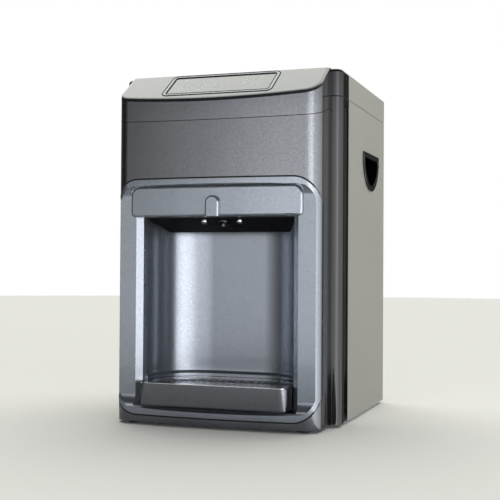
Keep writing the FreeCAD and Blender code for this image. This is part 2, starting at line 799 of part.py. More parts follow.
def make_top_cover():
    """The lid: flat top, facia slope and a front band that hangs over the module."""
    wall = mm.shell_wall
    start = groove + wall - wall / 3
    main = cover_block("cover_main", 0, (seam_height + mm.joint_gap, mm.body_height))
    rim_edges = lambda edge: lies(edge, z=mm.body_height)
    dress(main, "Fillet", wall * 1.5, rim_edges)
    reach = (front_seam_height, mm.body_height)
    module = module_prism("cover_module", 0, reach, start + mm.pillar_corner + wall)
    under_back = block(
        "cover_under_back", (-side, side), (groove, start + FAR * 2),
        (front_seam_height - FAR, seam_height + mm.joint_gap),
    )
    below = seam_tool("cover_seam", 0, False)
    nose = cut("cover_nose", module, slope_tool("cover_slope", 0), below, under_back)
    inner_main = cover_block(
        "cover_inner_main", wall, (seam_height - FAR, mm.body_height - wall)
    )
    inner_module = module_prism(
        "cover_inner_module", wall, (front_seam_height - FAR, mm.body_height - wall),
        start + FAR + wall,
    )
    hollow = cut("cover_hollow", inner_module, slope_tool("cover_inner_slope", wall * 1.2))
    sink = facia_plate("cover_facia_recess", -mm.joint_gap, (-mm.panel_sink, FAR))
    solid = fuse("cover_solid", main, nose)
    return node(cut("top_cover_cut", solid, inner_main, hollow, sink), "top_cover")


def make_control_panel():
    """The facia ring and the printed overlay inside it."""
    seat = mm.seat_gap / 3 - mm.panel_sink
    outer = facia_plate("control_ring_outside", 0, (seat, mm.seat_gap))
    inner = facia_plate("control_ring_inside", mm.panel_rim, (seat - FAR, FAR))
    node(cut("control_ring_cut", outer, inner), "control_bezel")
    overlay = facia_plate(
        "control_overlay_plate", mm.panel_rim + mm.joint_gap, (seat, seat + mm.overlay_thickness)
    )
    node(overlay, "control_overlay")


def make_pillar(name, way):
    """A glossy corner pillar with the channel behind it."""
    front_face = groove + mm.shell_wall - mm.shell_wall / 3
    reach = (floor, seam_height)
    corners = [(way * pillar_inner, front_face), (way * side, front_face)]
    corners += [(way * side, pillar_back - mm.joint_gap), (way * pillar_inner, pillar_back - mm.joint_gap)]
    solid = prism(f"{name}_pillar_solid", "Z", corners if way > 0 else corners[::-1], reach)
    dress(
        solid, "Fillet", mm.pillar_corner,
        lambda edge: along("Z", edge) and lies(edge, x=way * side, y=front_face),
    )
    channel_y = (groove + mm.channel_start, groove + mm.channel_start + mm.channel_width)
    channel_x = sorted((way * (side - mm.channel_depth), way * (side + FAR)), key=float)
    channel = block(
        f"{name}_channel", channel_x, channel_y,
        (floor - FAR, seam_height - mm.channel_top_gap),
    )
    wing_x = sorted((way * (pillar_inner - mm.groove_wing), way * (pillar_inner + 1)), key=float)
    wing = block(
        f"{name}_pillar_wing", wing_x, (groove + mm.joint_gap, front_face + mm.shell_wall), reach
    )
    whole = fuse(f"{name}_pillar_winged", solid, wing)
    node(cut(f"{name}_pillar_cut", whole, channel), f"{name}_corner_pillar")
    gap = mm.seat_gap
    bottom = side - mm.channel_depth + gap / 3
    trim_x = sorted((way * bottom, way * (bottom + mm.trim_thickness)), key=float)
    trim = block(
        f"{name}_trim", trim_x, (channel_y[0] + gap, channel_y[1] - gap),
        (floor, seam_height - mm.channel_top_gap - gap),
    )
    node(trim, f"{name}_channel_trim")


def handle_prism(name, inset, x, way):
    """The mouth of the side handle: flat top and round bottom."""
    top = mm.handle_top - inset
    start = mm.handle_start + inset
    end = mm.handle_start + mm.handle_length - inset
    low = top - (mm.handle_drop - inset * 2)
    shoulder = low + (end - start) / 2 * 0.8
    corners = [(start, top), (start, shoulder), (end, shoulder), (end, top)]
    half = (end - start) / 2
    radius = bow_radius(half, shoulder - low)
    reach = sorted((way * x[0], way * x[1]), key=float)
    return prism(name, "X", corners, reach, {1: radius})


def make_side_panel(name, way):
    """A steel side sheet with the handle opening."""
    sheet_x = sorted((way * inner_side, way * side), key=float)
    plate = block(f"{name}_sheet", sheet_x, (pillar_back, back), (floor, seam_height))
    mouth = handle_prism(f"{name}_mouth", -mm.joint_gap, (inner_side - FAR, side + FAR), way)
    node(cut(f"{name}_sheet_cut", plate, mouth), f"{name}_side_panel")


def make_handle_cup(name, way):
    """The moulded cup that fingers reach into, with a proud rim."""
    wall = mm.shell_wall * 0.8
    rim_top = side + mm.handle_proud
    seat = side + mm.seat_gap / 3
    body = handle_prism(f"{name}_cup_body", 0, (side - mm.handle_depth, rim_top), way)
    rim = handle_prism(f"{name}_cup_rim", -mm.handle_flange, (seat, rim_top), way)
    hollow = handle_prism(
        f"{name}_cup_hollow", wall, (side - mm.handle_depth + wall, rim_top + FAR), way
    )
    node(cut(f"{name}_cup_cut", fuse(f"{name}_cup_solid", body, rim), hollow), f"{name}_handle_cup")


def make_base():
    """The pressed base plate and the rubber feet."""
    sheet_top = floor + mm.sheet_wall
    main_half = inner_side - mm.seat_gap
    main = block("base_main", (-main_half, main_half), (pillar_back, back - 1), (floor, sheet_top))
    neck_half = pillar_inner - mm.groove_wing - mm.seat_gap
    neck = block("base_neck", (-neck_half, neck_half), (groove - 1, pillar_back), (floor, sheet_top))
    toe = module_prism("base_toe", mm.shell_wall + mm.seat_gap, (floor, sheet_top), groove)
    node(fuse("base_fused", main, neck, toe), "base_plate")
    spread = 2.2 * mm.foot_radius
    feet = []
    for place, (x, y) in enumerate(
        [
            (-module_half + spread, front + spread * 1.2),
            (module_half - spread, front + spread * 1.2),
            (-side + spread, back - spread),
            (side - spread, back - spread),
        ]
    ):
        feet.append(rod(f"foot_{place}", "Z", mm.foot_radius * 0.9, (x, y), (0, floor), mm.foot_radius))
    node(group("feet", feet), "rubber_feet")


# Back ------------------------------------------------------------------------------------------

rear_front = rear_face - mm.sheet_wall
rear_edge = back - mm.seat_gap
condenser_x = mm.condenser_side
inlet_place = (mm.inlet_side, mm.inlet_height)
drain_place = (-mm.drain_side, mm.drain_height)
power_place = (-mm.power_side, mm.power_height)
POWER_HALF = (14, 11)
ROCKER_THROW = 17  # degrees between off and on
ROCKER_HOLLOW = -32  # radius of the hollow finger face
switch_gap = mm.rocker_half_width * 3.4
switch_place = (-mm.power_side, mm.switch_height)


def screw_spots():
    """Three casing screws up each side of the back."""
    x = inner_side - mm.screw_inset
    top = seam_height - mm.screw_high
    return [(way * x, z) for z in (mm.screw_low, (mm.screw_low + top) / 2, top) for way in (-1, 1)]


def make_rear_panel():
    """The recessed back: a pressed pan with air slots and openings for what passes through."""
    half = inner_side - mm.seat_gap
    bottom = floor + mm.sheet_wall + mm.seat_gap
    top = seam_height - mm.seat_gap
    wall = mm.sheet_wall
    pan = block("rear_pan", (-half, half), (rear_front, rear_edge), (bottom, top))
    recess = block(
        "rear_recess_cut", (wall - half, half - wall), (rear_face, back + FAR), (bottom + wall, top - wall)
    )
    through = (rear_front - 1, rear_face + 1)
    tools = [recess]
    banks = ((mm.louvre_low, 11), (mm.body_height - mm.louvre_high, 7))
    for bank, (start, count) in enumerate(banks):
        for line in range(count):
            z = start + line * mm.louvre_pitch
            tools.append(
                block(
                    f"louvre_{bank}_{line}",
                    (condenser_x - mm.louvre_length / 2, condenser_x + mm.louvre_length / 2),
                    through, (z, z + mm.louvre_height),
                )
            )
    for spot, (x, z) in enumerate(screw_spots()):
        tools.append(rod(f"rear_hole_{spot}", "Y", mm.screw_radius + mm.seat_gap, (x, z), through))
    tools.append(rod("rear_inlet_hole", "Y", mm.inlet_radius + mm.seat_gap, inlet_place, through))
    tools.append(rod("rear_drain_hole", "Y", mm.drain_radius + mm.seat_gap, drain_place, through))
    gap = mm.seat_gap
    px, pz = power_place
    tools.append(
        block(
            "rear_power_hole", (px - POWER_HALF[0] - gap, px + POWER_HALF[0] + gap), through,
            (pz - POWER_HALF[1] - gap, pz + POWER_HALF[1] + gap),
        )
    )
    sx, sz = switch_place
    reach_x = switch_gap / 2 + mm.rocker_half_width + mm.sheet_wall * 2
    reach_z = mm.rocker_half_height + mm.sheet_wall * 2
    tools.append(
        block("rear_switch_hole", (sx - reach_x, sx + reach_x), through, (sz - reach_z, sz + reach_z))
    )
    node(cut("rear_panel_cut", pan, *tools), "rear_panel")


def make_rear_screws():
    screws = []
    for spot, (x, z) in enumerate(screw_spots()):
        seat = rear_face + mm.seat_gap / 3
        head = rod(f"rear_screw_head_{spot}", "Y", mm.screw_head_radius, (x, z), (seat, seat + 2.4))
        dome = soften(
            f"rear_screw_dome_{spot}", head, 1.6, lambda edge: lies(edge, y=seat + 2.4)
        )
        reach = (seat - mm.screw_reach, seat + 1)
        shank = rod(f"rear_screw_shank_{spot}", "Y", mm.screw_radius, (x, z), reach)
        screws.append(fuse(f"rear_screw_{spot}", dome, shank))
    node(group("rear_screw_set", screws), "rear_screws")


def make_inlet():
    """The push-in water inlet: a bored fitting with a collar on the rear panel."""
    tip = back - 1
    start = rear_front - 14
    seat = rear_face + mm.seat_gap / 3
    body = rod("inlet_body", "Y", mm.inlet_radius, inlet_place, (start, tip))
    collar = rod("inlet_collar", "Y", mm.inlet_radius + 3, inlet_place, (seat, seat + 4))
    bore = rod("inlet_bore_cut", "Y", mm.inlet_bore, inlet_place, (start + 4, tip + 1))
    node(cut("inlet_fitting_cut", fuse("inlet_solid", body, collar), bore), "inlet_fitting")


def make_drain():
    """The drain spout of the hot tank and its pull-off cap."""
    spout_end = back - 5
    start = rear_front - 12
    seat = rear_face + mm.seat_gap / 3
    body = rod("drain_body", "Y", mm.drain_radius, drain_place, (start, spout_end))
    collar = rod("drain_collar", "Y", mm.drain_radius + 4, drain_place, (seat, seat + 2))
    bore = rod("drain_bore_cut", "Y", mm.drain_bore, drain_place, (start + 3, spout_end + 1))
    node(cut("drain_fitting_cut", fuse("drain_solid", body, collar), bore), "drain_fitting")
    mouth = seat + 2.4
    cap = rod("drain_cap_body", "Y", mm.cap_radius, drain_place, (mouth, back - 1))
    hollow = rod("drain_cap_hollow", "Y", mm.drain_radius + 0.4, drain_place, (mouth - 1, spout_end + 0.4))
    node(cut("drain_cap_cut", cap, hollow), "drain_cap")


def make_power_inlet():
    """A three-pin appliance inlet: moulded socket with its pins set back from the mouth."""
    px, pz = power_place
    half_x, half_z = POWER_HALF
    inside = rear_front - 16
    mouth = rear_face + 5
    body = block("power_body", (px - half_x, px + half_x), (inside, mouth), (pz - half_z, pz + half_z))
    plate = block(
        "power_plate", (px - half_x - 4, px + half_x + 4), (rear_face + mm.seat_gap / 3, rear_face + 2.5),
        (pz - half_z - 3, pz + half_z + 3),
    )
    well = block("power_well", (px - 12, px + 12), (inside + 3, mouth + FAR), (pz - 8, pz + 8))
    pins = []
    for name, x, z in (("live", -7, -1), ("earth", 0, 3), ("neutral", 7, -1)):
        pins.append(
            block(
                f"power_pin_{name}", (px + x - 1, px + x + 1), (inside + 2, mouth - 6),
                (pz + z - 2, pz + z + 2),
            )
        )
    shell = cut("power_shell", fuse("power_solid", body, plate), well)
    node(fuse("power_inlet_whole", shell, *pins), "power_inlet")


def make_switches():
    """Two rocker switches, hot and cooling, in one frame, both at rest in their off position."""
    sx, sz = switch_place
    wall = mm.sheet_wall
    rw = mm.rocker_half_width
    rh = mm.rocker_half_height
    well_z = rh * 1.15
    reach_x = switch_gap / 2 + rw + wall * 2 - mm.seat_gap
    reach_z = rh + wall * 2 - mm.seat_gap
    inside = rear_front - 14
    lip = rear_face + 3
    body = block("switch_body", (sx - reach_x, sx + reach_x), (inside, lip), (sz - reach_z, sz + reach_z))
    flange = block(
        "switch_flange", (sx - reach_x - 3, sx + reach_x + 3), (rear_face + mm.seat_gap / 3, lip - 1),
        (sz - reach_z - 3, sz + reach_z + 3),
    )
    hinge_y = lip - 2
    profile = [(rh * 0.55, -rh), (rh * 0.55, rh), (0, rh * 0.9), (-rh * 0.45, rh * 0.4)]
    profile = [(-rh * 0.45, -rh * 0.4), (0, -rh * 0.9)] + profile
    wells = []
    for name, way in (("hot", -1), ("cooling", 1)):
        x = sx + way * switch_gap / 2
        wells.append(
            block(
                f"{name}_well", (x - rw - mm.joint_gap, x + rw + mm.joint_gap), (inside + 3, lip + FAR),
                (sz - well_z, sz + well_z),
            )
        )
        rocker = prism(f"{name}_rocker", "X", profile, (-rw, rw), {2: ROCKER_HOLLOW})
        node(tilt(rocker, -ROCKER_THROW / 2, x, hinge_y, sz), f"{name}_switch")
    node(cut("switch_frame_cut", fuse("switch_solid", body, flange), *wells), "switch_frame")


# Cooling ---------------------------------------------------------------------------------------

compressor_at = (-mm.compressor_side, back - mm.compressor_inset)
base_top = floor + mm.sheet_wall
GROMMET_SPOTS = [(-52, -34), (52, -34), (-52, 34), (52, 34)]


def make_compressor():
    """A hermetic compressor on four rubber grommets."""
    cx, cy = compressor_at
    foot_z = base_top + 12
    shell_z = foot_z + 6
    top = shell_z + mm.compressor_height
    shell = rod("compressor_shell", "Z", mm.compressor_radius, compressor_at, (shell_z, top))
    domed = soften(
        "compressor_dome", shell, mm.compressor_radius * 0.45,
        lambda edge: lies(edge, z=shell_z) or lies(edge, z=top),
    )
    weld = rod(
        "compressor_weld", "Z", mm.compressor_radius + 1.5, compressor_at,
        (shell_z + mm.compressor_height * 0.55, shell_z + mm.compressor_height * 0.55 + 5),
    )
    foot = block("compressor_foot", (cx - 62, cx + 62), (cy - 43, cy + 43), (foot_z, foot_z + 3))
    saddle = rod(
        "compressor_saddle", "Z", mm.compressor_radius * 0.6, compressor_at, (foot_z + 1, shell_z + 4)
    )
    box = block(
        "compressor_terminals", (cx + mm.compressor_radius * 0.3, cx + mm.compressor_radius + 8),
        (cy - 26, cy + 20), (shell_z + 45, shell_z + 95),
    )
    holes = [
        rod(f"compressor_hole_{n}", "Z", 4.4, (cx + x, cy + y), (foot_z - 1, foot_z + 4))
        for n, (x, y) in enumerate(GROMMET_SPOTS)
    ]
    solid = fuse("compressor_solid", domed, weld, foot, saddle, box)
    node(cut("compressor_cut", solid, *holes), "compressor")
    grommets = []
    for n, (x, y) in enumerate(GROMMET_SPOTS):
        place = (cx + x, cy + y)
        foot_part = rod(f"grommet_foot_{n}", "Z", 9, place, (base_top + mm.seat_gap / 3, foot_z - 0.1))
        neck = rod(f"grommet_neck_{n}", "Z", 4, place, (foot_z - 1, foot_z + 3.1))
        cap = rod(f"grommet_cap_{n}", "Z", 7, place, (foot_z + 3.1, foot_z + 5))
        grommets.append(fuse(f"grommet_{n}", foot_part, neck, cap))
    node(group("grommet_set", grommets), "compressor_grommets")


CONDENSER_HALF = 62
CONDENSER_LOW = 24
CONDENSER_HIGH = 146
condenser_front = rear_front - 42
condenser_back = rear_front - 4


def make_condenser():
    """A tube-and-fin block standing on the base plate."""
    low = condenser_x - CONDENSER_HALF
    high = condenser_x + CONDENSER_HALF
    pieces = []
    rows = 5
    step = (CONDENSER_HIGH - CONDENSER_LOW - 20) / (rows - 1)
    centres = [(condenser_front + condenser_back) / 2 + shift for shift in (-10, 10)]
    for depth, y in enumerate(centres):
        for row in range(rows):
            z = CONDENSER_LOW + 10 + row * step
            pieces.append(rod(f"condenser_run_{depth}_{row}", "X", mm.coil_tube, (y, z), (low, high)))
    for end, x in (("left", low), ("right", high)):
        pieces.append(
            block(
                f"condenser_{end}_plate", (x - 1, x + 1), (condenser_front, condenser_back),
                (base_top + mm.seat_gap, CONDENSER_HIGH),
            )
        )
    count = int(float((high - low) / mm.fin_pitch))
    for fin in range(1, count):
        x = low + fin * mm.fin_pitch
        pieces.append(
            block(
                f"condenser_fin_{fin}", (x - 0.4, x + 0.4), (condenser_front + 2, condenser_back - 2),
                (CONDENSER_LOW, CONDENSER_HIGH - 2),
            )
        )
    node(fuse("condenser_fused", *pieces), "condenser_coil")


fan_z = (CONDENSER_LOW + CONDENSER_HIGH) / 2
fan_at = (condenser_x, fan_z)
shroud_back = condenser_front - 1
fan_back = shroud_back - 5
FAN_DEPTH = 14


def make_fan():
    """Shroud, motor on its bracket and a five-blade fan."""
    reach = CONDENSER_HALF + 1
    plate = block(
        "shroud_plate", (condenser_x - reach, condenser_x + reach), (shroud_back - 2, shroud_back),
        (base_top + mm.seat_gap, CONDENSER_HIGH + 2),
    )
    throat = rod("shroud_throat", "Y", mm.fan_radius + 4, fan_at, (shroud_back - 12, shroud_back))
    hole = rod("shroud_hole", "Y", mm.fan_radius + 2, fan_at, (shroud_back - FAR, shroud_back + 1))
    node(cut("shroud_cut", fuse("shroud_solid", plate, throat), hole), "fan_shroud")
    hub_front = fan_back - FAN_DEPTH
    motor_front = hub_front - 30
    motor = rod("motor_can", "Y", 20, fan_at, (motor_front, hub_front - 2))
    shaft = rod("motor_shaft", "Y", mm.fan_shaft, fan_at, (motor_front, fan_back - 2))
    node(fuse("fan_motor_whole", motor, shaft), "fan_motor")
    post = block(
        "bracket_post", (condenser_x - 18, condenser_x + 18),
        (motor_front - 2, motor_front - mm.seat_gap / 3),
        (base_top + mm.seat_gap / 3, fan_z + 22),
    )
    foot = block(
        "bracket_foot", (condenser_x - 18, condenser_x + 18), (motor_front - 2, motor_front + 22),
        (base_top + mm.seat_gap / 3, base_top + 2),
    )
    node(fuse("fan_bracket_whole", post, foot), "fan_bracket")
    hub = rod("fan_hub", "Y", mm.fan_hub, fan_at, (hub_front, fan_back))
    bore = rod("fan_bore", "Y", mm.fan_shaft + mm.shaft_gap, fan_at, (hub_front - 1, fan_back + 1))
    blades = []
    for blade in range(5):
        paddle = doc.addObject("Part::Box", f"fan_blade_{blade}")
        bind(paddle, Length=mm.fan_radius - mm.fan_hub * 0.8, Width=mm.blade_thickness, Height=18)
        pitch = Rotation(Vector(1, 0, 0), 55)
        spin = Rotation(Vector(0, 1, 0), 72 * blade)
        centre = Vector(float(fan_at[0]), float((hub_front + fan_back) / 2), float(fan_z))
        offset = pitch.multVec(Vector(float(mm.fan_hub * 0.8), -float(mm.blade_thickness) / 2, -9))
        paddle.Placement = Placement(centre + spin.multVec(offset), spin.multiply(pitch))
        blades.append(paddle)
    node(cut("fan_cut", fuse("fan_solid", hub, *blades), bore), "condenser_fan")


# Tanks and water -------------------------------------------------------------------------------

shelf_top = mm.shelf_height + mm.sheet_wall
cold_at = (-mm.cold_side, back - mm.tank_inset)
hot_at = (mm.hot_side, back - mm.tank_inset)
tank_low = shelf_top + 12
line_y = (condenser_front + condenser_back) / 2 + 10
drier_at = (condenser_x - CONDENSER_HALF - 19, line_y)


def make_shelf():
    """The pressed shelf that carries the tanks, with turned-up flanges on the side sheets."""
    half = inner_side - mm.seat_gap
    start = niche_back + mm.liner_wall + 2
    end = rear_front - mm.seat_gap
    reach_up = mm.shelf_height + 14
    plate = block("shelf_plate", (-half, half), (start, end), (mm.shelf_height, shelf_top))
    wings = [
        block(f"shelf_{name}_wing", across, (pillar_back + 1, end), (mm.shelf_height, reach_up))
        for name, across in (
            ("left", (-half, mm.sheet_wall - half)), ("right", (half - mm.sheet_wall, half))
        )
    ]
    holes = [
        rod(f"shelf_hole_{n}", "Z", 9, place, (mm.shelf_height - 1, shelf_top + 1))
        for n, place in enumerate((cold_at, (drier_at[0], line_y), (cold_at[0], line_y)))
    ]
    node(cut("shelf_cut", fuse("shelf_solid", plate, *wings), *holes), "tank_shelf")


def make_tank(name, centre, radius, height):
    """A drawn steel vessel on three legs."""
    top = tank_low + height
    vessel = rod(f"{name}_vessel", "Z", radius, centre, (tank_low, top))
    domed = soften(
        f"{name}_domed", vessel, 9, lambda edge: lies(edge, z=tank_low) or lies(edge, z=top)
    )
    legs = []
    for leg in range(3):
        angle = math.radians(120 * leg + 30)
        place = (centre[0] + radius * 0.7 * math.cos(angle), centre[1] + radius * 0.7 * math.sin(angle))
        legs.append(rod(f"{name}_leg_{leg}", "Z", 5, place, (shelf_top + mm.seat_gap / 3, tank_low + 4)))
    node(fuse(f"{name}_whole", domed, *legs), f"{name}_tank")
    return top


def make_cold_side():
    """Cold tank with its coil, foam halves and lid."""
    cx, cy = cold_at
    top = make_tank("cold", cold_at, mm.cold_radius, mm.cold_height)
    coil_radius = mm.cold_radius + mm.evaporator_tube + mm.seat_gap / 3
    turns = int(float((mm.cold_height - 30) / mm.evaporator_pitch))
    rings = [
        ring(
            f"evaporator_turn_{n}", coil_radius, mm.evaporator_tube,
            (cx, cy, tank_low + 14 + n * mm.evaporator_pitch),
        )
        for n in range(turns)
    ]
    riser = rod(
        "evaporator_riser", "Z", mm.copper_tube, (cx, cy + coil_radius),
        (tank_low + 14, tank_low + 14 + (turns - 1) * mm.evaporator_pitch),
    )
    node(fuse("evaporator_whole", riser, *rings), "evaporator_coil")
    foam_inner = coil_radius + mm.evaporator_tube + mm.seat_gap
    foam_top = top + 6
    for name, way in (("left", -1), ("right", 1)):
        jacket = pipe(
            f"foam_{name}_ring", "Z", mm.cold_jacket, foam_inner, cold_at,
            (shelf_top + mm.seat_gap / 3, foam_top),
        )
        spread = sorted((cx + way * mm.seat_gap, cx + way * (mm.cold_jacket + FAR)), key=float)
        keep = block(
            f"foam_{name}_keep", spread, (cy - mm.cold_jacket - 1, cy + mm.cold_jacket + 1),
            (tank_low - FAR, foam_top + FAR),
        )
        node(common(f"foam_{name}_half", jacket, keep), f"cold_insulation_{name}")
    lid = rod("cold_lid_plate", "Z", mm.cold_radius + 8, cold_at, (top + 6.3, top + 14))
    plug = rod("cold_lid_plug", "Z", mm.cold_radius - 10, cold_at, (top + 0.3, top + 10))
    node(fuse("cold_lid_whole", lid, plug), "cold_tank_lid")


def make_hot_side():
    """Hot tank with a heater band, a felt jacket and two thermostats."""
    top = make_tank("hot", hot_at, mm.hot_radius, mm.hot_height)
    hug = mm.hot_radius + mm.seat_gap
    band = pipe("heater_ring", "Z", mm.hot_radius + 3.5, hug, hot_at, (tank_low + 22, tank_low + 48))
    node(band, "heater_band")
    felt = pipe("hot_felt", "Z", mm.hot_jacket, hug, hot_at, (tank_low + 50, top - 10))
    node(felt, "hot_insulation")
    discs = []
    for name, shift in (("control", -14), ("limit", 14)):
        place = (hot_at[0] + shift, hot_at[1])
        disc = rod(f"{name}_thermostat_disc", "Z", 8, place, (top + 0.1, top + 5))
        stem = rod(f"{name}_thermostat_stem", "Z", 5, place, (top + 4, top + 11))
        discs.append(fuse(f"{name}_thermostat", disc, stem))
    node(group("thermostat_set", discs), "thermostats")


FILTER_PLACES = (-118, -58, 2)
FILTER_RADIUS = 27
filter_y = pillar_back + 38


def make_filters():
    """Three quick-change cartridges hanging from one head under the tank shelf."""
    head_low = mm.shelf_height - 36
    head_high = mm.shelf_height - 12
    cartridges = []
    for n, x in enumerate(FILTER_PLACES):
        bottom = head_low - 190
        can = rod(f"filter_can_{n}", "Z", FILTER_RADIUS, (x, filter_y), (bottom, head_low - 8))
        round_can = soften(
            f"filter_round_{n}", can, 8, lambda edge: lies(edge, z=bottom) or lies(edge, z=head_low - 8)
        )
        neck = rod(f"filter_neck_{n}", "Z", 12, (x, filter_y), (head_low - 9, head_low - 0.2))
        cartridges.append(fuse(f"filter_{n}", round_can, neck))
    node(group("filter_set", cartridges), "filter_cartridges")
    manifold = block(
        "filter_manifold", (FILTER_PLACES[0] - 20, FILTER_PLACES[-1] + 20), (filter_y - 17, filter_y + 17),
        (head_low, head_high),
    )
    hangers = [
        block(
            f"filter_hanger_{n}", (x - 8, x + 8), (filter_y - 12, filter_y + 12),
            (head_high - 1, mm.shelf_height - mm.seat_gap / 3),
        )
        for n, x in enumerate((FILTER_PLACES[0], FILTER_PLACES[-1]))
    ]
    node(fuse("filter_head_whole", manifold, *hangers), "filter_head")


valve_y = front + mm.niche_back * 0.62
liner_top = mm.niche_roof + mm.liner_wall
VALVE_X = 38
VALVE_HALF = 13


def make_valves():
    """Hot and cold solenoid valves standing on the roof of the niche liner."""
    for name, way in (("cold", -1), ("hot", 1)):
        x = way * VALVE_X
        seat = liner_top + mm.seat_gap / 3
        block_body = block(
            f"{name}_valve_body", (x - VALVE_HALF, x + VALVE_HALF),
            (valve_y - VALVE_HALF, valve_y + VALVE_HALF), (seat, seat + 22),
        )
        coil = rod(f"{name}_valve_coil", "Z", 13, (x, valve_y), (seat + 21, seat + 48))
        stem = rod(f"{name}_valve_stem", "Z", 5, (x, valve_y), (seat + 47, seat + 53))
        node(fuse(f"{name}_valve_whole", block_body, coil, stem), f"{name}_valve")
    seat_x, iz = inlet_place
    start = rear_front - 14.2
    body = block("inlet_valve_body", (seat_x - 12, seat_x + 12), (start - 40, start), (iz - 12, iz + 12))
    coil = rod("inlet_valve_coil", "X", 13, (start - 20, iz), (seat_x - 38, seat_x - 11))
    node(fuse("inlet_valve_whole", body, coil), "inlet_valve")


def bent_tube(points, radius, bend):
    """A round tube along straight runs joined by tangent arcs."""
    edges = []
    start = points[0]
    for before, corner, after in zip(points, points[1:], points[2:]):
        arrive = (before - corner).normalize()
        leave = (after - corner).normalize()
        half_turn = (math.pi - arrive.getAngle(leave)) / 2
        reach = bend * math.tan(half_turn)
        first = corner + arrive * reach
        last = corner + leave * reach
        inward = (arrive + leave).normalize()
        centre = corner + inward * (bend / math.cos(half_turn))
        middle = centre - inward * bend
        if (first - start).Length > TOLERANCE:
            edges.append(Part.LineSegment(start, first).toShape())
        edges.append(Part.Arc(first, middle, last).toShape())
        start = last
    edges.append(Part.LineSegment(start, points[-1]).toShape())
    path = Part.Wire(edges)
    section = Part.Wire([Part.Circle(points[0], points[1] - points[0], radius).toShape()])
    return path.makePipeShell([section], True, False)


def tube_node(name, routes):
    """One node of tubes; each route is its points, its radius and its bend."""
    shapes = [
        bent_tube([Vector(*map(float, point)) for point in points], float(radius), bend)
        for points, radius, bend in routes
    ]
    thing = doc.addObject("Part::Feature", f"{name}_shape")
    thing.Shape = shapes[0] if len(shapes) == 1 else Part.makeCompound(shapes)
    return node(thing, name)


def make_water_tubes():
    """Tank to valve and valve to nozzle, for cold and hot; wall inlet to filters to cold tank."""
    gap = mm.seat_gap / 3
    level = liner_top + gap + 11
    spout_y = front + mm.nozzle_back
    tank_wall = {"cold": cold_at[1] - mm.cold_jacket, "hot": hot_at[1] - mm.hot_radius}
    for name, way, tank in (("cold", -1, cold_at), ("hot", 1, hot_at)):
        x = way * VALVE_X
        drop_x = way * mm.nozzle_bore * 0.9
        outlet = [(x - way * (VALVE_HALF + gap), valve_y, level), (drop_x, valve_y, level)]
        outlet += [(drop_x, spout_y, level), (drop_x, spout_y, nozzle_top + gap)]
        start = (x, valve_y + VALVE_HALF + gap, level)
        end = (tank[0], tank_wall[name] - mm.seat_gap, level)
        third = (end[1] - start[1]) / 3
        supply = [start, (x, start[1] + third, level), (tank[0], end[1] - third, level), end]
        tube_node(f"{name}_tube", [(outlet, mm.water_tube * 0.75, 8), (supply, mm.water_tube, 14)])
    ix, iz = inlet_place
    inlet_start = rear_front - 54.2 - gap
    manifold_z = mm.shelf_height - 24
    corner_y = filter_y + 37
    inlet = [(ix, inlet_start, iz), (ix, corner_y, iz), (ix, filter_y, manifold_z)]
    inlet += [(FILTER_PLACES[-1] + 20 + gap, filter_y, manifold_z)]
    far_left = FILTER_PLACES[0] - 34
    cx, cy = cold_at
    feed = [(FILTER_PLACES[0] - 20 - gap, filter_y, manifold_z), (far_left, filter_y, manifold_z)]
    feed += [(far_left, cy, manifold_z), (cx, cy, manifold_z), (cx, cy, tank_low - gap)]
    tube_node("feed_tubes", [(inlet, mm.water_tube, 18), (feed, mm.water_tube, 12)])


def make_refrigerant_lines():
    """Discharge, liquid, capillary and suction lines, and the drier between them."""
    gap = mm.seat_gap / 3
    cx, cy = compressor_at
    shell_top = base_top + 18 + mm.compressor_height
    end_plate = condenser_x - CONDENSER_HALF - 1 - gap
    top_run = (condenser_front + condenser_back) / 2 - 10
    over = shell_top + 32
    drop_x = end_plate - 28
    discharge = [(cx + 20, cy, shell_top + gap), (cx + 20, cy, over), (drop_x, top_run, over)]
    discharge += [(drop_x, top_run, CONDENSER_HIGH - 10), (end_plate, top_run, CONDENSER_HIGH - 10)]
    dx, dy = drier_at
    drier_low = 60
    drier_high = 122
    liquid = [(end_plate, line_y, CONDENSER_LOW + 10), (dx, line_y, CONDENSER_LOW + 10)]
    liquid += [(dx, dy, drier_low - gap)]
    away = math.atan2(float(dy - cold_at[1]), float(dx - cold_at[0]))
    touch = mm.cold_jacket + mm.seat_gap
    foam_point = (cold_at[0] + touch * math.cos(away), cold_at[1] + touch * math.sin(away))
    cold_low = tank_low + 18
    capillary = [(dx, dy, drier_high + gap), (dx, dy, cold_low), (*foam_point, cold_low)]
    cold_high = tank_low + 98
    suction = [(cold_at[0], cold_at[1] + touch, cold_high), (cold_at[0], line_y, cold_high)]
    suction += [(cold_at[0], line_y, over), (cx - 14, cy, over), (cx - 14, cy, shell_top + gap)]
    tube = mm.copper_tube
    routes = [(discharge, tube, 12), (liquid, tube, 9), (capillary, tube / 2, 10), (suction, tube, 12)]
    tube_node("refrigerant_tubes", routes)
    drier = rod("drier_can", "Z", 9, drier_at, (drier_low, drier_high))
    node(
        soften("drier_round", drier, 5, lambda e: lies(e, z=drier_low) or lies(e, z=drier_high)), "drier"
    )


def make_control_board():
    """The circuit board on posts under the facia."""
    half = mm.panel_half * 0.75
    start = mm.panel_start + 8
    end = mm.panel_end - 12
    low = -14
    top = low + 1.6
    under_cover = -mm.shell_wall - mm.seat_gap
    parts = [block("control_pcb", (-half, half), (start, end), (low, top))]
    for n, x in enumerate((5 - half, half - 5)):
        for row, y in enumerate((start + 5, end - 5)):
            parts.append(rod(f"control_post_{n}_{row}", "Z", 2.5, (x, y), (low + 1, under_cover)))
    for n in range(4):
        x = (n - 1.5) * 24
        parts.append(block(f"control_chip_{n}", (x - 6, x + 6), (start + 14, start + 26), (low + 1, top + 3)))
    board = fuse("control_board_whole", *parts)
    node(tilt(board, slope_degrees, 0, front, slope_foot_height), "control_board")


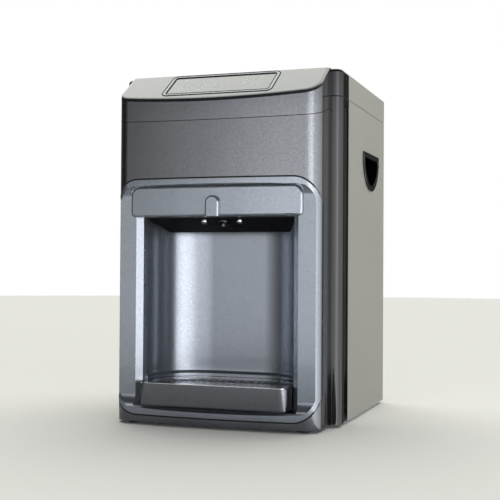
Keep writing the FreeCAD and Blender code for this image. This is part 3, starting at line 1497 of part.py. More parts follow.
def make_power_board():
    """The relay and supply board on posts from the right side sheet."""
    board_x = inner_side - 12
    y = (-28, 62)
    z = (180, 270)
    parts = [block("power_pcb", (board_x, board_x + 1.6), y, z)]
    post_reach = (board_x + 1, inner_side - mm.seat_gap / 3)
    for n, (py, pz) in enumerate([(-20, 188), (54, 188), (-20, 262), (54, 262)]):
        parts.append(rod(f"power_post_{n}", "X", 3, (py, pz), post_reach))
    components = [
        (-18, 190, 24, 20, 16), (14, 192, 30, 26, 22), (-18, 226, 18, 30, 12),
        (12, 232, 14, 14, 18), (34, 232, 14, 22, 18),
    ]
    for n, (py, pz, wide, tall, proud) in enumerate(components):
        depth = (board_x - proud, board_x + 1)
        parts.append(block(f"power_part_{n}", depth, (py, py + wide), (pz, pz + tall)))
    node(fuse("power_board_whole", *parts), "power_board")


make_front_panel()
make_front_bezel()
make_header_cover()
make_niche_liner()
make_nozzle_housing()
make_nozzle()
make_nozzle_screws()
make_drip_tray()
make_drip_grille()
make_top_cover()
make_control_panel()
for name, way in (("left", -1), ("right", 1)):
    make_pillar(name, way)
    make_side_panel(name, way)
    make_handle_cup(name, way)
make_base()
make_rear_panel()
make_rear_screws()
make_inlet()
make_drain()
make_power_inlet()
make_switches()
make_compressor()
make_condenser()
make_fan()
make_shelf()
make_cold_side()
make_hot_side()
make_filters()
make_valves()
make_water_tubes()
make_refrigerant_lines()
make_control_board()
make_power_board()

doc.recompute()
faults = [thing.Name for thing in doc.Objects if {"Invalid", "Error"} & set(thing.State)]
assert not faults, f"objects that failed: {faults}"
for piece in nodes:
    assert not piece.Shape.isNull() and piece.Shape.isValid(), f"{piece.Label} has no valid shape"
os.makedirs("parts", exist_ok=True)
for piece in nodes:
    piece.Shape.exportStep(f"parts/{piece.Label}.step")
print(len(nodes), "nodes")
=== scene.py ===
import json
import math
import bpy
import bmesh
from mathutils import Matrix, Vector

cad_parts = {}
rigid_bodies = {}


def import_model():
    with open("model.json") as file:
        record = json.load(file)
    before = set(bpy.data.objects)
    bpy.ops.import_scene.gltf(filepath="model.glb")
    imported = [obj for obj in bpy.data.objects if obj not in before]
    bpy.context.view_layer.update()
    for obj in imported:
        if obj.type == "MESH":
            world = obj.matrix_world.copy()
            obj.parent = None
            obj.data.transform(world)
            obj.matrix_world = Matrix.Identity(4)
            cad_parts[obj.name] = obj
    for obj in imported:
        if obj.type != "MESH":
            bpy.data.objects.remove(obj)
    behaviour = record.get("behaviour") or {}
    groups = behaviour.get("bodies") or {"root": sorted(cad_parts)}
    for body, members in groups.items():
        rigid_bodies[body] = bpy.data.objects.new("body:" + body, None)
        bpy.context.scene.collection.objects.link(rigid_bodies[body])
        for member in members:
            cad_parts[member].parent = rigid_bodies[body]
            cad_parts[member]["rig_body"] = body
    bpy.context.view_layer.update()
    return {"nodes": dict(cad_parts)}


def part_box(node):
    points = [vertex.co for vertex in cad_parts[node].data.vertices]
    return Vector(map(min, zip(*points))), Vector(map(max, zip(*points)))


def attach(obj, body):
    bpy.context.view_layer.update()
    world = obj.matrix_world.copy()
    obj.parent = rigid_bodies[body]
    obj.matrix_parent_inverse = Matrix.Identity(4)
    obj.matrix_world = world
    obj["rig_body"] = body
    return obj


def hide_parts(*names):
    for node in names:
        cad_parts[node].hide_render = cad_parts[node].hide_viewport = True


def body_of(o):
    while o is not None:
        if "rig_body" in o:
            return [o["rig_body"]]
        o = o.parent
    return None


# Countertop water dispenser: the finish of every part, its rounded edges, the printed facia and the fine
# pieces that the frame doesn't hold, and a small studio. Metres, +Z up, the front faces -Y.

MM = 0.001
MIX_FACTOR, MIX_A, MIX_B, MIX_OUT = 0, 6, 7, 2   # the colour sockets of a Mix node

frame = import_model()
nodes = frame["nodes"]


# ---------------------------------------------------------------- helpers

def linear(hex_colour):
    """An sRGB hex colour as linear RGBA."""
    channels = [int(hex_colour[i:i + 2], 16) / 255 for i in (1, 3, 5)]
    return [c / 12.92 if c <= 0.04045 else ((c + 0.055) / 1.055) ** 2.4 for c in channels] + [1.0]


def put(tree, kind, sockets=None, **settings):
    """Adds one node. Settings are its own choices; sockets take a value or another node's output."""
    made = tree.nodes.new(kind)
    for name, value in settings.items():
        setattr(made, name, value)
    for name, value in (sockets or {}).items():
        if isinstance(value, bpy.types.NodeSocket):
            tree.links.new(value, made.inputs[name])
        else:
            made.inputs[name].default_value = value
    return made


def blank(name):
    """An empty node material, its tree and the piece's own coordinates."""
    material = bpy.data.materials.new(name)
    material.use_nodes = True
    tree = material.node_tree
    tree.nodes.clear()
    return material, tree, put(tree, "ShaderNodeTexCoord").outputs["Object"]


def per_mm(size):
    """Scale of a pattern whose features are this many millimetres across."""
    return 1.0 / (size * MM)


def carried(value, low, high, start=0.3, end=0.7):
    """The sockets of a Map Range node that carries a pattern to a range. Most of a noise lies within 0.3
    and 0.7."""
    return {"Value": value, "From Min": start, "From Max": end, "To Min": low, "To Max": high}


def blotch(tree, where, size, low, high):
    """Slow unevenness of a surface, as a number between two limits."""
    noise = put(tree, "ShaderNodeTexNoise", {"Vector": where, "Scale": per_mm(size), "Detail": 3.0})
    return put(tree, "ShaderNodeMapRange", carried(noise.outputs["Fac"], low, high)).outputs["Result"]


def shade(tree, colour, relief=None, **sockets):
    """Ends a material. Its colour is a socket, or a pattern and the hex colours at its two ends. Its relief
    is a height pattern, a strength and a depth in millimetres. Socket names are given with _ for a space."""
    inputs = {name.replace("_", " "): value for name, value in sockets.items()}
    if isinstance(colour, tuple):
        pattern, dark, light = colour
        ends = {MIX_FACTOR: pattern, MIX_A: linear(dark), MIX_B: linear(light)}
        colour = put(tree, "ShaderNodeMix", ends, data_type="RGBA").outputs[MIX_OUT]
    inputs["Base Color"] = colour
    if relief:
        height, strength, depth = relief
        bump = {"Height": height, "Strength": strength, "Distance": depth * MM}
        inputs["Normal"] = put(tree, "ShaderNodeBump", bump).outputs["Normal"]
    surface = put(tree, "ShaderNodeBsdfPrincipled", inputs)
    put(tree, "ShaderNodeOutputMaterial", {"Surface": surface.outputs["BSDF"]})


# ---------------------------------------------------------------- finishes

# Sizes of the patterns' features, in millimetres.
FLAKE = 0.9          # metal flakes, far coarser than real ones, so that they show
ORANGE_PEEL = 5      # waves of sprayed lacquer
GRIT = 0.8           # grains of the enamel, coarser than real ones, so that they show
WIPE = 1.6           # width of the marks that a cloth leaves
BELT_LINE = 0.5      # lines of brushed metal, coarser than real ones, so that they show
PRESS_WAVE = 12      # unevenness of pressed sheet
TRACK = 9            # pitch of the copper tracks
TRACK_WIDTH = 0.06   # their width, as a part of the pitch


def flake_lacquer(name, dark, light, metallic, rough, coat_rough, coat=1.0):
    """Moulded ABS sprayed with metal-flake colour under clear lacquer. The flakes glitter in light and dark
    points, and the lacquer over them mirrors the room with a faint orange peel."""
    material, tree, where = blank(name)
    flake = put(tree, "ShaderNodeTexVoronoi", {"Vector": where, "Scale": per_mm(FLAKE)})
    grey = put(tree, "ShaderNodeRGBToBW", {"Color": flake.outputs["Color"]})
    peel = put(tree, "ShaderNodeTexNoise", {"Vector": where, "Scale": per_mm(ORANGE_PEEL), "Detail": 1.0})
    shade(tree, (grey.outputs["Val"], dark, light), (peel.outputs["Fac"], 0.006, 0.2),
          Metallic=metallic, Roughness=blotch(tree, where, 90, rough - 0.02, rough + 0.02),
          Coat_Weight=coat, Coat_Roughness=coat_rough, Coat_IOR=1.5)
    return material


def enamel_with_painted_reflection():
    """Steel sheet with baked metallic enamel, its light grey a painted reflection of the bright room. A fine
    even texture breaks up what it mirrors.
    """
    material, tree, where = blank("grey_enamel_painted_reflection")
    grit = put(tree, "ShaderNodeTexNoise", {"Vector": where, "Scale": per_mm(GRIT), "Detail": 3.0})
    tone = put(tree, "ShaderNodeMapRange", carried(grit.outputs["Fac"], 0.0, 1.0))
    shade(tree, (tone.outputs["Result"], "#a7a7a0", "#b1b0ab"), (grit.outputs["Fac"], 0.12, 0.05),
          Metallic=0.15, Specular_IOR_Level=0.3, Roughness=blotch(tree, where, 60, 0.42, 0.48),
          Coat_Weight=0.1, Coat_Roughness=0.25)
    return material


def piano_black():
    """Gloss black ABS, moulded in a polished tool. It is nearly a black mirror, with faint wiping marks."""
    material, tree, where = blank("piano_black_abs")
    wipe = put(tree, "ShaderNodeMapping", {"Vector": where, "Scale": (1.0, 1.0, 0.12)})
    marks = put(tree, "ShaderNodeTexNoise", {"Vector": wipe.outputs["Vector"], "Scale": per_mm(WIPE),
                                             "Detail": 2.0})
    gloss = put(tree, "ShaderNodeMapRange", carried(marks.outputs["Fac"], 0.05, 0.11))
    shade(tree, (blotch(tree, where, 40, 0.0, 1.0), "#060607", "#0a0a0c"),
          Specular_IOR_Level=0.46, Roughness=gloss.outputs["Result"])
    return material


def grained(name, dark, light, rough, grain, strength, depth=0.08):
    """A moulded or coated surface with a fine grain in its colour and its relief. The size of the grain and
    the depth of the relief are in millimetres."""
    material, tree, where = blank(name)
    noise = put(tree, "ShaderNodeTexNoise", {"Vector": where, "Scale": per_mm(grain), "Detail": 3.0})
    tone = put(tree, "ShaderNodeMapRange", carried(noise.outputs["Fac"], 0.0, 1.0))
    shade(tree, (tone.outputs["Result"], dark, light), (noise.outputs["Fac"], strength, depth),
          Roughness=blotch(tree, where, 30, rough - 0.05, rough + 0.05))
    return material


def brushed(name, dark, light, rough, along):
    """Metal with the lines of an abrasive belt or a drawing die, which run along one axis and stretch its
    highlights across them."""
    material, tree, where = blank(name)
    stretch = put(tree, "ShaderNodeMapping", {"Vector": where, "Scale": along})
    lines = put(tree, "ShaderNodeTexNoise", {"Vector": stretch.outputs["Vector"], "Scale": per_mm(BELT_LINE),
                                             "Detail": 4.0}).outputs["Fac"]
    tone = put(tree, "ShaderNodeMapRange", carried(lines, 0.0, 1.0))
    gloss = put(tree, "ShaderNodeMapRange", carried(lines, rough - 0.06, rough + 0.08))
    shade(tree, (tone.outputs["Result"], dark, light), (lines, 0.15, 0.03),
          Metallic=1.0, Roughness=gloss.outputs["Result"])
    return material


def chrome():
    """Pressed steel with bright chrome plate. It mirrors what is round it as a pale sheet, slightly uneven
    from the press."""
    material, tree, where = blank("bright_chrome_plated_steel")
    wave = put(tree, "ShaderNodeTexNoise", {"Vector": where, "Scale": per_mm(PRESS_WAVE), "Detail": 1.0})
    tone = put(tree, "ShaderNodeMapRange", carried(wave.outputs["Fac"], 0.0, 1.0))
    shade(tree, (tone.outputs["Result"], "#f3f2ef", "#fffefc"), (wave.outputs["Fac"], 0.03, 0.3),
          Metallic=1.0, Roughness=blotch(tree, where, 6, 0.08, 0.15))
    return material


def cells(name, dark, light, metallic, rough, size, strength, depth):
    """Flat cells that meet in a net and catch the light one by one. Their size and the depth between them
    are in millimetres."""
    material, tree, where = blank(name)
    net = put(tree, "ShaderNodeTexVoronoi", {"Vector": where, "Scale": per_mm(size)})
    grey = put(tree, "ShaderNodeRGBToBW", {"Color": net.outputs["Color"]}).outputs["Val"]
    gloss = put(tree, "ShaderNodeMapRange", carried(grey, rough - 0.08, rough + 0.08, 0.0, 1.0))
    shade(tree, (grey, dark, light), (net.outputs["Distance"], strength, depth),
          Metallic=metallic, Roughness=gloss.outputs["Result"])
    return material


def solder_mask():
    """Glass-fibre laminate under green solder mask, with copper tracks that show lighter through it."""
    material, tree, where = blank("solder_mask_laminate")
    tracks = put(tree, "ShaderNodeTexBrick", {
        "Vector": where, "Scale": per_mm(TRACK), "Mortar Size": TRACK_WIDTH,
        "Color1": linear("#0f4a26"), "Color2": linear("#12552c"), "Mortar": linear("#2b7d45"),
    })
    shade(tree, tracks.outputs["Color"], Roughness=blotch(tree, where, 4, 0.3, 0.42))
    return material


finishes = {
    # ABS sprayed gunmetal under full clear lacquer: dark, with clear reflections.
    "gunmetal_plastic": flake_lacquer("gunmetal_flake_lacquer", "#4c4f54", "#6c6f75", metallic=0.9,
                                      rough=0.2, coat_rough=0.02),
    # The side panels' baked enamel: its light grey is a painted reflection of the bright room.
    "painted_steel": enamel_with_painted_reflection(),
    # ABS sprayed silver under thinner lacquer: satin, with softer reflections.
    "silver_plastic": flake_lacquer("silver_flake_lacquer", "#7b818b", "#939aa3", metallic=0.75, rough=0.26,
                                    coat_rough=0.05, coat=0.6),
    "black_gloss": piano_black(),
    "steel_grille": chrome(),
    # Hot-dip zinc on steel: a dull pale metal in large crystals.
    "zinc_steel": cells("hot_dip_zinc_steel", "#8e9296", "#b2b6ba", metallic=1.0, rough=0.42, size=9,
                        strength=0.04, depth=0.1),
    # Powder coat: a dry orange-peel skin that hides the metal's shine.
    "rear_steel": grained("black_powder_coat", "#17181a", "#232427", rough=0.55, grain=0.7, strength=0.35,
                          depth=0.12),
    # Belt-brushed stainless sheet: pale grey with upright lines.
    "stainless": brushed("belt_brushed_stainless", "#b4b4b1", "#cfcfcc", rough=0.28, along=(1.0, 1.0, 0.03)),
    # Moulded nitrile: nearly black, with a bloom that scatters all light.
    "rubber": grained("moulded_nitrile_rubber", "#101011", "#19191b", rough=0.8, grain=0.5, strength=0.3),
    # Spark-textured polypropylene: even fine grain, half matt.
    "black_plastic": grained("spark_textured_polypropylene", "#0d0e10", "#17181b", rough=0.5, grain=0.6,
                             strength=0.3),
    # Moulded polystyrene foam: matt white beads pressed against each other.
    "foam": cells("moulded_polystyrene_foam", "#dcdcd9", "#f0f0ee", metallic=0.0, rough=0.85, size=4,
                  strength=0.5, depth=0.4),
    # Drawn copper tube: warm and half bright.
    "copper": brushed("drawn_copper_tube", "#b06a3c", "#d18a58", rough=0.3, along=(1.0, 0.05, 1.0)),
    # Acetal: milky white, waxy and smooth.
    "white_plastic": grained("moulded_white_acetal", "#e2e3e0", "#efefec", rough=0.35, grain=2.0,
                             strength=0.1),
    "circuit_board": solder_mask(),
}
for row in nodes.values():
    for place, old in enumerate(row.data.materials):
        row.data.materials[place] = finishes[old.name]

# The niche's lining: the same silver, smoother, so its curved back mirrors the room in upright stripes,
# and a little darker: painted shade inside the recess.
niche_shaded_silver = flake_lacquer("silver_lacquer_painted_shade", "#737983", "#8a909a", metallic=0.75, rough=0.25,
                              coat_rough=0.04, coat=0.5)
# Cured screen ink: flat white with a slight tooth.
white_ink = grained("white_screen_ink", "#e6e8ea", "#f4f5f6", rough=0.45, grain=0.4, strength=0.1)
# Tinted acrylic light window: clear gloss over a pale core.
light_window = grained("clear_acrylic_light_window", "#dfe9f2", "#f4f8fb", rough=0.12, grain=3.0,
                       strength=0.05)


# ---------------------------------------------------------------- rounded shells

JOINED = 0.01          # corners of the frame's triangles this near, in millimetres, are one
FLAT = 0.8             # triangles that meet at less than this, in degrees, are one face
CROWDED = 0.12         # corners of whole faces this near, in millimetres, leave no room for a rounded edge
ROUNDED_FROM = 38      # faces that meet at more than this, in degrees, get a rounded edge
PICKED_FROM = 25       # the same for the edges that a test picks
BEZEL_CORNER = 35      # corner radius of the bezel seen from the front, in millimetres
SIDE_SEAM = -150       # where the bezel ends on the sides
SLOPE_ROUNDING = 4.5   # outer edge of the facia slope
SEAM_REACH = 0.7       # an edge this near the bezel's outline is beside its seam
COVER_SEAM = 0.55      # widths of the rounded edges along the two seams, which are painted black as shade
BEZEL_SEAM = 0.9
CONTROLS_HALF = 100    # the opening for the controls is within this of the middle, and above this height
CONTROLS_FOOT = 460
RIM_END = 166          # an edge of the cover's rim that runs further back than this stays plain
RIM_TOP = 463          # and the rim has no edge above this height
CAP_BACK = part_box("right_channel_trim")[1].y   # how far back the black of the corner runs
module_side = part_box("front_bezel")[1].x
bezel_low, bezel_high = (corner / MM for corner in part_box("front_bezel"))
bezel_middle = (bezel_low.z + bezel_high.z) / 2
bezel_straight = (bezel_high.z - bezel_low.z) / 2 - BEZEL_CORNER   # half of the straight part of its sides
SECOND, THIRD = 1, 2         # material slots of a piece's further finishes
PIERCED = ("drip_grille",)   # many slots: its flat faces stay in triangles
SHELLS = {   # node: width of its rounded edges in millimetres
    "front_panel": 0.9, "front_bezel": 1.0, "header_cover": 0.5, "top_cover": 0.9, "control_bezel": 0.4,
    "control_overlay": 0.3, "left_corner_pillar": 0.8, "right_corner_pillar": 0.8, "left_channel_trim": 0.4,
    "right_channel_trim": 0.4, "left_side_panel": 0.6, "right_side_panel": 0.6, "left_handle_cup": 0.8,
    "right_handle_cup": 0.8, "drip_tray": 0.8, "drip_grille": 0.4, "niche_liner": 0.6,
    "nozzle_housing": 0.8, "nozzle": 0.5, "rubber_feet": 0.8, "drain_cap": 0.5, "power_inlet": 0.4,
    "switch_frame": 0.4, "hot_switch": 0.4, "cooling_switch": 0.4, "inlet_fitting": 0.4,
    "drain_fitting": 0.4,
}


def only(piece):
    """Makes one object the selected and active one."""
    bpy.ops.object.select_all(action="DESELECT")
    piece.select_set(True)
    bpy.context.view_layer.objects.active = piece


def settle(piece, name, body, material, sharp=30):
    """Names a finished piece, smooths it, puts its place in its mesh, gives it its main finish and lets it
    ride. More finishes that it already has stay."""
    only(piece)
    bpy.ops.object.transform_apply(location=True, rotation=True, scale=True)
    bpy.ops.object.shade_smooth_by_angle(angle=math.radians(sharp))
    weigh = piece.modifiers.new("flat_faces_lead", "WEIGHTED_NORMAL")
    weigh.keep_sharp = True
    bpy.ops.object.modifier_apply(modifier=weigh.name)
    piece.name = name
    if not piece.data.materials:
        piece.data.materials.append(material)
    piece.data.materials[0] = material
    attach(piece, body)


def round_edges(piece, width, steps=2):
    """Rounds every sharp edge. The width is in millimetres."""
    bevel = piece.modifiers.new("edge", "BEVEL")
    bevel.limit_method = "ANGLE"
    bevel.angle_limit = math.radians(ROUNDED_FROM)
    bevel.width = width * MM
    bevel.segments = steps
    bevel.use_clamp_overlap = True
    bevel.miter_outer = "MITER_ARC"
    only(piece)
    bpy.ops.object.modifier_apply(modifier=bevel.name)


def merged_copy(node, whole_faces=True):
    """A copy of a frame part with its loose triangles joined, and merged into whole faces if asked."""
    bpy.ops.object.select_all(action="DESELECT")
    copy = bpy.data.objects.new(f"{node}_shell", nodes[node].data.copy())
    bpy.context.scene.collection.objects.link(copy)
    only(copy)
    bpy.ops.object.mode_set(mode="EDIT")
    bpy.ops.mesh.select_all(action="SELECT")
    bpy.ops.mesh.customdata_custom_splitnormals_clear()
    bpy.ops.mesh.remove_doubles(threshold=JOINED * MM)
    if whole_faces:
        bpy.ops.mesh.dissolve_limited(angle_limit=math.radians(FLAT))
        bpy.ops.mesh.remove_doubles(threshold=CROWDED * MM)
    bpy.ops.object.mode_set(mode="OBJECT")
    return copy


def pick_edges(piece, test):
    """Selects, in edit mode, the sharp edges that the test picks. It gets an edge's two ends in millimetres
    and its two faces' normals."""
    bpy.ops.mesh.select_all(action="DESELECT")
    mesh = bmesh.from_edit_mesh(piece.data)
    for edge in mesh.edges:
        if len(edge.link_faces) == 2 and edge.calc_face_angle(0) > math.radians(PICKED_FROM):
            edge.select = test([v.co / MM for v in edge.verts], [f.normal for f in edge.link_faces])
    bmesh.update_edit_mesh(piece.data)


def bevel_where(piece, test, width, steps, slot=-1):
    """Rounds the edges that the test picks. The rounding takes the material slot, or that of its neighbours
    for -1."""
    only(piece)
    bpy.ops.object.mode_set(mode="EDIT")
    pick_edges(piece, test)
    bpy.ops.mesh.bevel(offset=width * MM, segments=steps, affect="EDGES", clamp_overlap=False, material=slot)
    bpy.ops.object.mode_set(mode="OBJECT")


def on_slope(normal):
    """Whether a face looks up and forward, as the facia does."""
    return normal.z > 0.75 and normal.y < -0.5


def slope_rim(ends, normals):
    """The outer edge of the facia slope, apart from the opening for the controls."""
    sloping = [n for n in normals if on_slope(n)]
    upright = [n for n in normals if abs(n.z) < 0.2]
    outside = all(abs(p.x) > CONTROLS_HALF or p.z < CONTROLS_FOOT for p in ends)
    return len(sloping) == 1 and len(upright) == 1 and outside


def part_cover(cover):
    """Cuts the cover's faces where its finishes meet, and gives it the two more finishes."""
    only(cover)
    bpy.ops.object.mode_set(mode="EDIT")
    bpy.ops.mesh.select_all(action="SELECT")
    bpy.ops.mesh.bisect(plane_co=(0, CAP_BACK, 0), plane_no=(0, 1, 0))
    bpy.ops.object.mode_set(mode="OBJECT")
    cover.data.materials.append(finishes["black_gloss"])
    cover.data.materials.append(finishes["painted_steel"])


def paint_cover(cover):
    """The cover's two corners over the pillars are gloss black, and its top, sides and back have the side
    panels' enamel, whose light grey is a painted reflection of the bright room."""
    for face in cover.data.polygons:
        if face.material_index == SECOND:
            continue
        middle = face.center
        ahead = middle.y < CAP_BACK
        if face.normal.z > 0.95 or (not ahead and face.normal.z > -0.6):
            face.material_index = THIRD
        elif ahead and abs(middle.x) > module_side + 0.2 * MM:
            face.material_index = SECOND


def outline_reach(point):
    """Distance of a point from the centre lines of the bezel's rounded outline, less its corner radius."""
    across = abs(point.x) - (bezel_high.x - BEZEL_CORNER)
    up = abs(point.z - bezel_middle) - bezel_straight
    return (math.hypot(across, up) if across > 0 and up > 0 else max(across, up)) - BEZEL_CORNER


def seam_edges(ends, normals):
    """Edges on either side of the seam round the bezel: on the front, and down the two sides."""
    if any(abs(outline_reach(p)) > SEAM_REACH for p in ends):
        return False
    if all(p.y < bezel_high.y - 3 for p in ends):
        return sum(n.y < -0.7 for n in normals) == 1
    return all(abs(p.x) > bezel_high.x - 0.3 and abs(p.y - SIDE_SEAM) < 0.8 for p in ends)


def cover_rim(ends, normals):
    """The lower outer edge of the top cover, along the front and over the corner pillars."""
    under = [n for n in normals if n.z < -0.5]
    walls = [n for n in normals if abs(n.z) < 0.3]
    if len(under) != 1 or len(walls) != 1 or max(p.y for p in ends) > RIM_END:
        return False
    middle = (ends[0] + ends[1]) / 2
    return walls[0].x * middle.x + walls[0].y * middle.y > 0 and middle.z < RIM_TOP


def make_shells():
    """Gives the parts that show a copy with rounded edges, which takes their place."""
    for node, width in SHELLS.items():
        material = nodes[node].data.materials[0]
        copy = merged_copy(node, node not in PIERCED)
        if node == "top_cover":
            part_cover(copy)
            bevel_where(copy, slope_rim, SLOPE_ROUNDING, 5)
            # The rounded lower rim of the cover takes the gloss black: painted shade along its seam.
            bevel_where(copy, cover_rim, COVER_SEAM, 2, SECOND)
        # The rounded edges on both sides of the bezel's seam take the black rubber finish: painted shade in
        # the seam.
        if node in ("front_bezel", "front_panel"):
            copy.data.materials.append(finishes["rubber"])
            bevel_where(copy, seam_edges, BEZEL_SEAM, 2, SECOND)
        round_edges(copy, width)
        # The niche's lining takes the darker copy of the silver: painted shade inside the recess.
        if node == "niche_liner":
            material = niche_shaded_silver
        settle(copy, f"{node}_shell", body_of(nodes[node])[0], material)
        if node == "top_cover":
            paint_cover(copy)
        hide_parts(node)


make_shells()


# ---------------------------------------------------------------- black cords in the seams: painted shadow lines

CORD_STEP = 0.05     # the shortest step along a cord, in millimetres
CORD_SMOOTH = 60     # a cord looks round up to this angle between its faces, in degrees
BORDER_REACH = 0.4   # an edge this near the outline is on the frame's border
BORDER_DEPTH = 32    # which is within this of its foremost point, except down its sides


def shadow_cord(name, node, test, radius, sink):
    """A black cord laid along the edges of a part that the test picks, and moved by the sink vector. It is a
    painted shadow line that stands for the shade in the seam there. Both are in millimetres."""
    source = merged_copy(node)
    only(source)
    bpy.ops.object.mode_set(mode="EDIT")
    bpy.ops.mesh.select_mode(type="EDGE")
    pick_edges(source, test)
    bpy.ops.mesh.select_all(action="INVERT")
    bpy.ops.mesh.delete(type="EDGE")
    bpy.ops.mesh.select_mode(type="VERT")
    bpy.ops.mesh.select_all(action="SELECT")
    bpy.ops.mesh.remove_doubles(threshold=CORD_STEP * MM)
    bpy.ops.transform.translate(value=[d * MM for d in sink])
    bpy.ops.object.mode_set(mode="OBJECT")
    bpy.ops.object.convert(target="CURVE")
    cord = bpy.context.object
    cord.data.bevel_depth = radius * MM
    cord.data.bevel_resolution = 2
    bpy.ops.object.convert(target="MESH")
    settle(bpy.context.object, name, "casing", finishes["rubber"], CORD_SMOOTH)


def bezel_outline(ends, normals):
    """The outer border of the silver frame, and the back of its sides."""
    for p in ends:
        beside = abs(p.x) > bezel_high.x - 0.2 and abs(p.z - bezel_middle) < bezel_straight + 0.5
        if abs(outline_reach(p)) > BORDER_REACH or (p.y > bezel_low.y + BORDER_DEPTH and not beside):
            return False
    return True


def facing_up(rim):
    """Edges of a tilted plate's upper face: the outer ones, or those of its opening."""
    def test(ends, normals):
        tops = [n for n in normals if on_slope(n)]
        walls = [n for n in normals if not (abs(n.z) > 0.75 and abs(n.y) > 0.5)]
        if len(tops) != 1 or len(walls) != 1:
            return False
        middle = (ends[0] + ends[1]) / 2 - facia_middle
        outward = walls[0].x * middle.x + walls[0].y * middle.y + walls[0].z * middle.z > 0
        return outward == rim
    return test


facia_middle = (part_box("control_bezel")[0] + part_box("control_bezel")[1]) / 2 / MM
# Painted shadow lines: black cords in the seams round the bezel, under the cover's rim and round the
# controls.
shadow_cord("bezel_shadow_cord", "front_bezel", bezel_outline, 0.8, (0, 0.85, 0))
shadow_cord("cover_shadow_cord", "top_cover", cover_rim, 0.45, (0, 0.45, 0))
shadow_cord("control_outer_shadow_cord", "control_bezel", facing_up(True), 0.85, (0, 0.15, -0.25))
shadow_cord("control_inner_shadow_cord", "control_bezel", facing_up(False), 0.75, (0, 0.15, -0.25))


# ---------------------------------------------------------------- facia print

SLOPE = math.radians(35.1)     # the facia's tilt
INK = 0.06                     # thickness of the ink, and its distance from the overlay, in millimetres
INK_LIFT = 0.01
LIGHT_RADIUS = 1.6
LIGHT_HEIGHT = 0.35            # the lights stand off the overlay by this
DIVIDER = (-47, 23, 0.5, 36)   # place across and up the slope, width and height
ARROW = (-58, 44, 3.4)         # place across and up the slope, and radius
DASH = 1.0                     # height of a dash
KEYS = (-30, -6)               # places of the two keys across, and how far up the slope they are
KEY_UP = 22
KEY_LINE = (10, 9, 0.9)        # place up the slope, width and height of the line under a key
KEY_RINGS = ((6.5, 32, 0.5), (3.2, 32, 0.4))   # radius, corners and band of each ring of a key
LIGHT_ROWS = [18 + 8 * n for n in range(4)]    # how far up the slope the lights and their dashes are
LIGHT_AT = 35                  # the lights, and the two dashes beside each, with the dashes' widths
DASHES = ((46, 7), (58, 9))
overlay_low, overlay_high = (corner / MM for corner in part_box("control_overlay"))
run, rise = overlay_high.y - overlay_low.y, overlay_high.z - overlay_low.z
overlay_length = (run * math.cos(SLOPE) - rise * math.sin(SLOPE)) / math.cos(2 * SLOPE)
overlay_foot = overlay_high.z - overlay_length * math.sin(SLOPE)


def on_facia(x, up):
    """A place just off the overlay: across, and up the slope from its front edge, in millimetres."""
    y = overlay_low.y + up * math.cos(SLOPE) - INK_LIFT * math.sin(SLOPE)
    return Vector((x, y, overlay_foot + up * math.sin(SLOPE) + INK_LIFT * math.cos(SLOPE))) * MM


def raise_ink(height):
    """Gives the flat mark in edit mode its thickness, and goes back to object mode."""
    bpy.ops.mesh.extrude_region_move(TRANSFORM_OT_translate={"value": (0, 0, height * MM),
                                                             "orient_type": "LOCAL"})
    bpy.ops.mesh.select_all(action="SELECT")
    bpy.ops.mesh.normals_make_consistent(inside=False)
    bpy.ops.object.mode_set(mode="OBJECT")


def bar(x, up, wide, tall):
    """A printed bar."""
    bpy.ops.object.select_all(action="DESELECT")
    bpy.ops.mesh.primitive_plane_add(size=MM, location=on_facia(x, up), rotation=(SLOPE, 0, 0))
    bpy.context.object.scale = (wide, tall, 1)
    bpy.ops.object.mode_set(mode="EDIT")
    raise_ink(INK)
    return bpy.context.object


def disc(x, up, radius, corners=24, band=0.0, height=INK):
    """A printed disc, or a ring as wide as the band."""
    bpy.ops.object.select_all(action="DESELECT")
    bpy.ops.mesh.primitive_circle_add(vertices=corners, radius=radius * MM, fill_type="NGON",
                                      location=on_facia(x, up), rotation=(SLOPE, 0, 0))
    bpy.ops.object.mode_set(mode="EDIT")
    if band:
        bpy.ops.mesh.inset(thickness=band * MM)
        bpy.ops.mesh.delete(type="FACE")
        bpy.ops.mesh.select_all(action="SELECT")
    raise_ink(height)
    return bpy.context.object


def gather(pieces, name, material, sharp=30):
    """Joins pieces into one that rides on the casing."""
    bpy.ops.object.select_all(action="DESELECT")
    for piece in pieces:
        piece.select_set(True)
    bpy.context.view_layer.objects.active = pieces[0]
    bpy.ops.object.transform_apply(location=True, rotation=True, scale=True)
    bpy.ops.object.join()
    settle(bpy.context.object, name, "casing", material, sharp)


def print_facia():
    """Plain signs: an arrow over four lines, a divider, two ringed keys, and four lights with dashes."""
    ink = [bar(*DIVIDER), disc(*ARROW, corners=3)]
    ink += [bar(-60, 12 + 6 * n, 14 - 3 * n, DASH) for n in range(4)]
    for x in KEYS:
        ink += [disc(x, KEY_UP, *ring) for ring in KEY_RINGS]
        ink += [bar(x, *KEY_LINE)]
    for up in LIGHT_ROWS:
        ink += [bar(x, up, wide, DASH) for x, wide in DASHES]
    gather(ink, "facia_print", white_ink)
    lights = []
    for up in LIGHT_ROWS:
        light = disc(LIGHT_AT, up, LIGHT_RADIUS, 20, height=LIGHT_HEIGHT)
        round_edges(light, 0.3, 3)
        lights.append(light)
    gather(lights, "facia_lights", light_window, 60)


print_facia()


# ---------------------------------------------------------------- studio

FLOOR = "#fafafa"
FLOOR_RADIUS = 6
DARK_TABLE = "#c2c2c8"
TABLE_AT = (-0.1, -0.55, 0)   # the dark round is in front of the object only
TABLE_RADIUS = 0.5
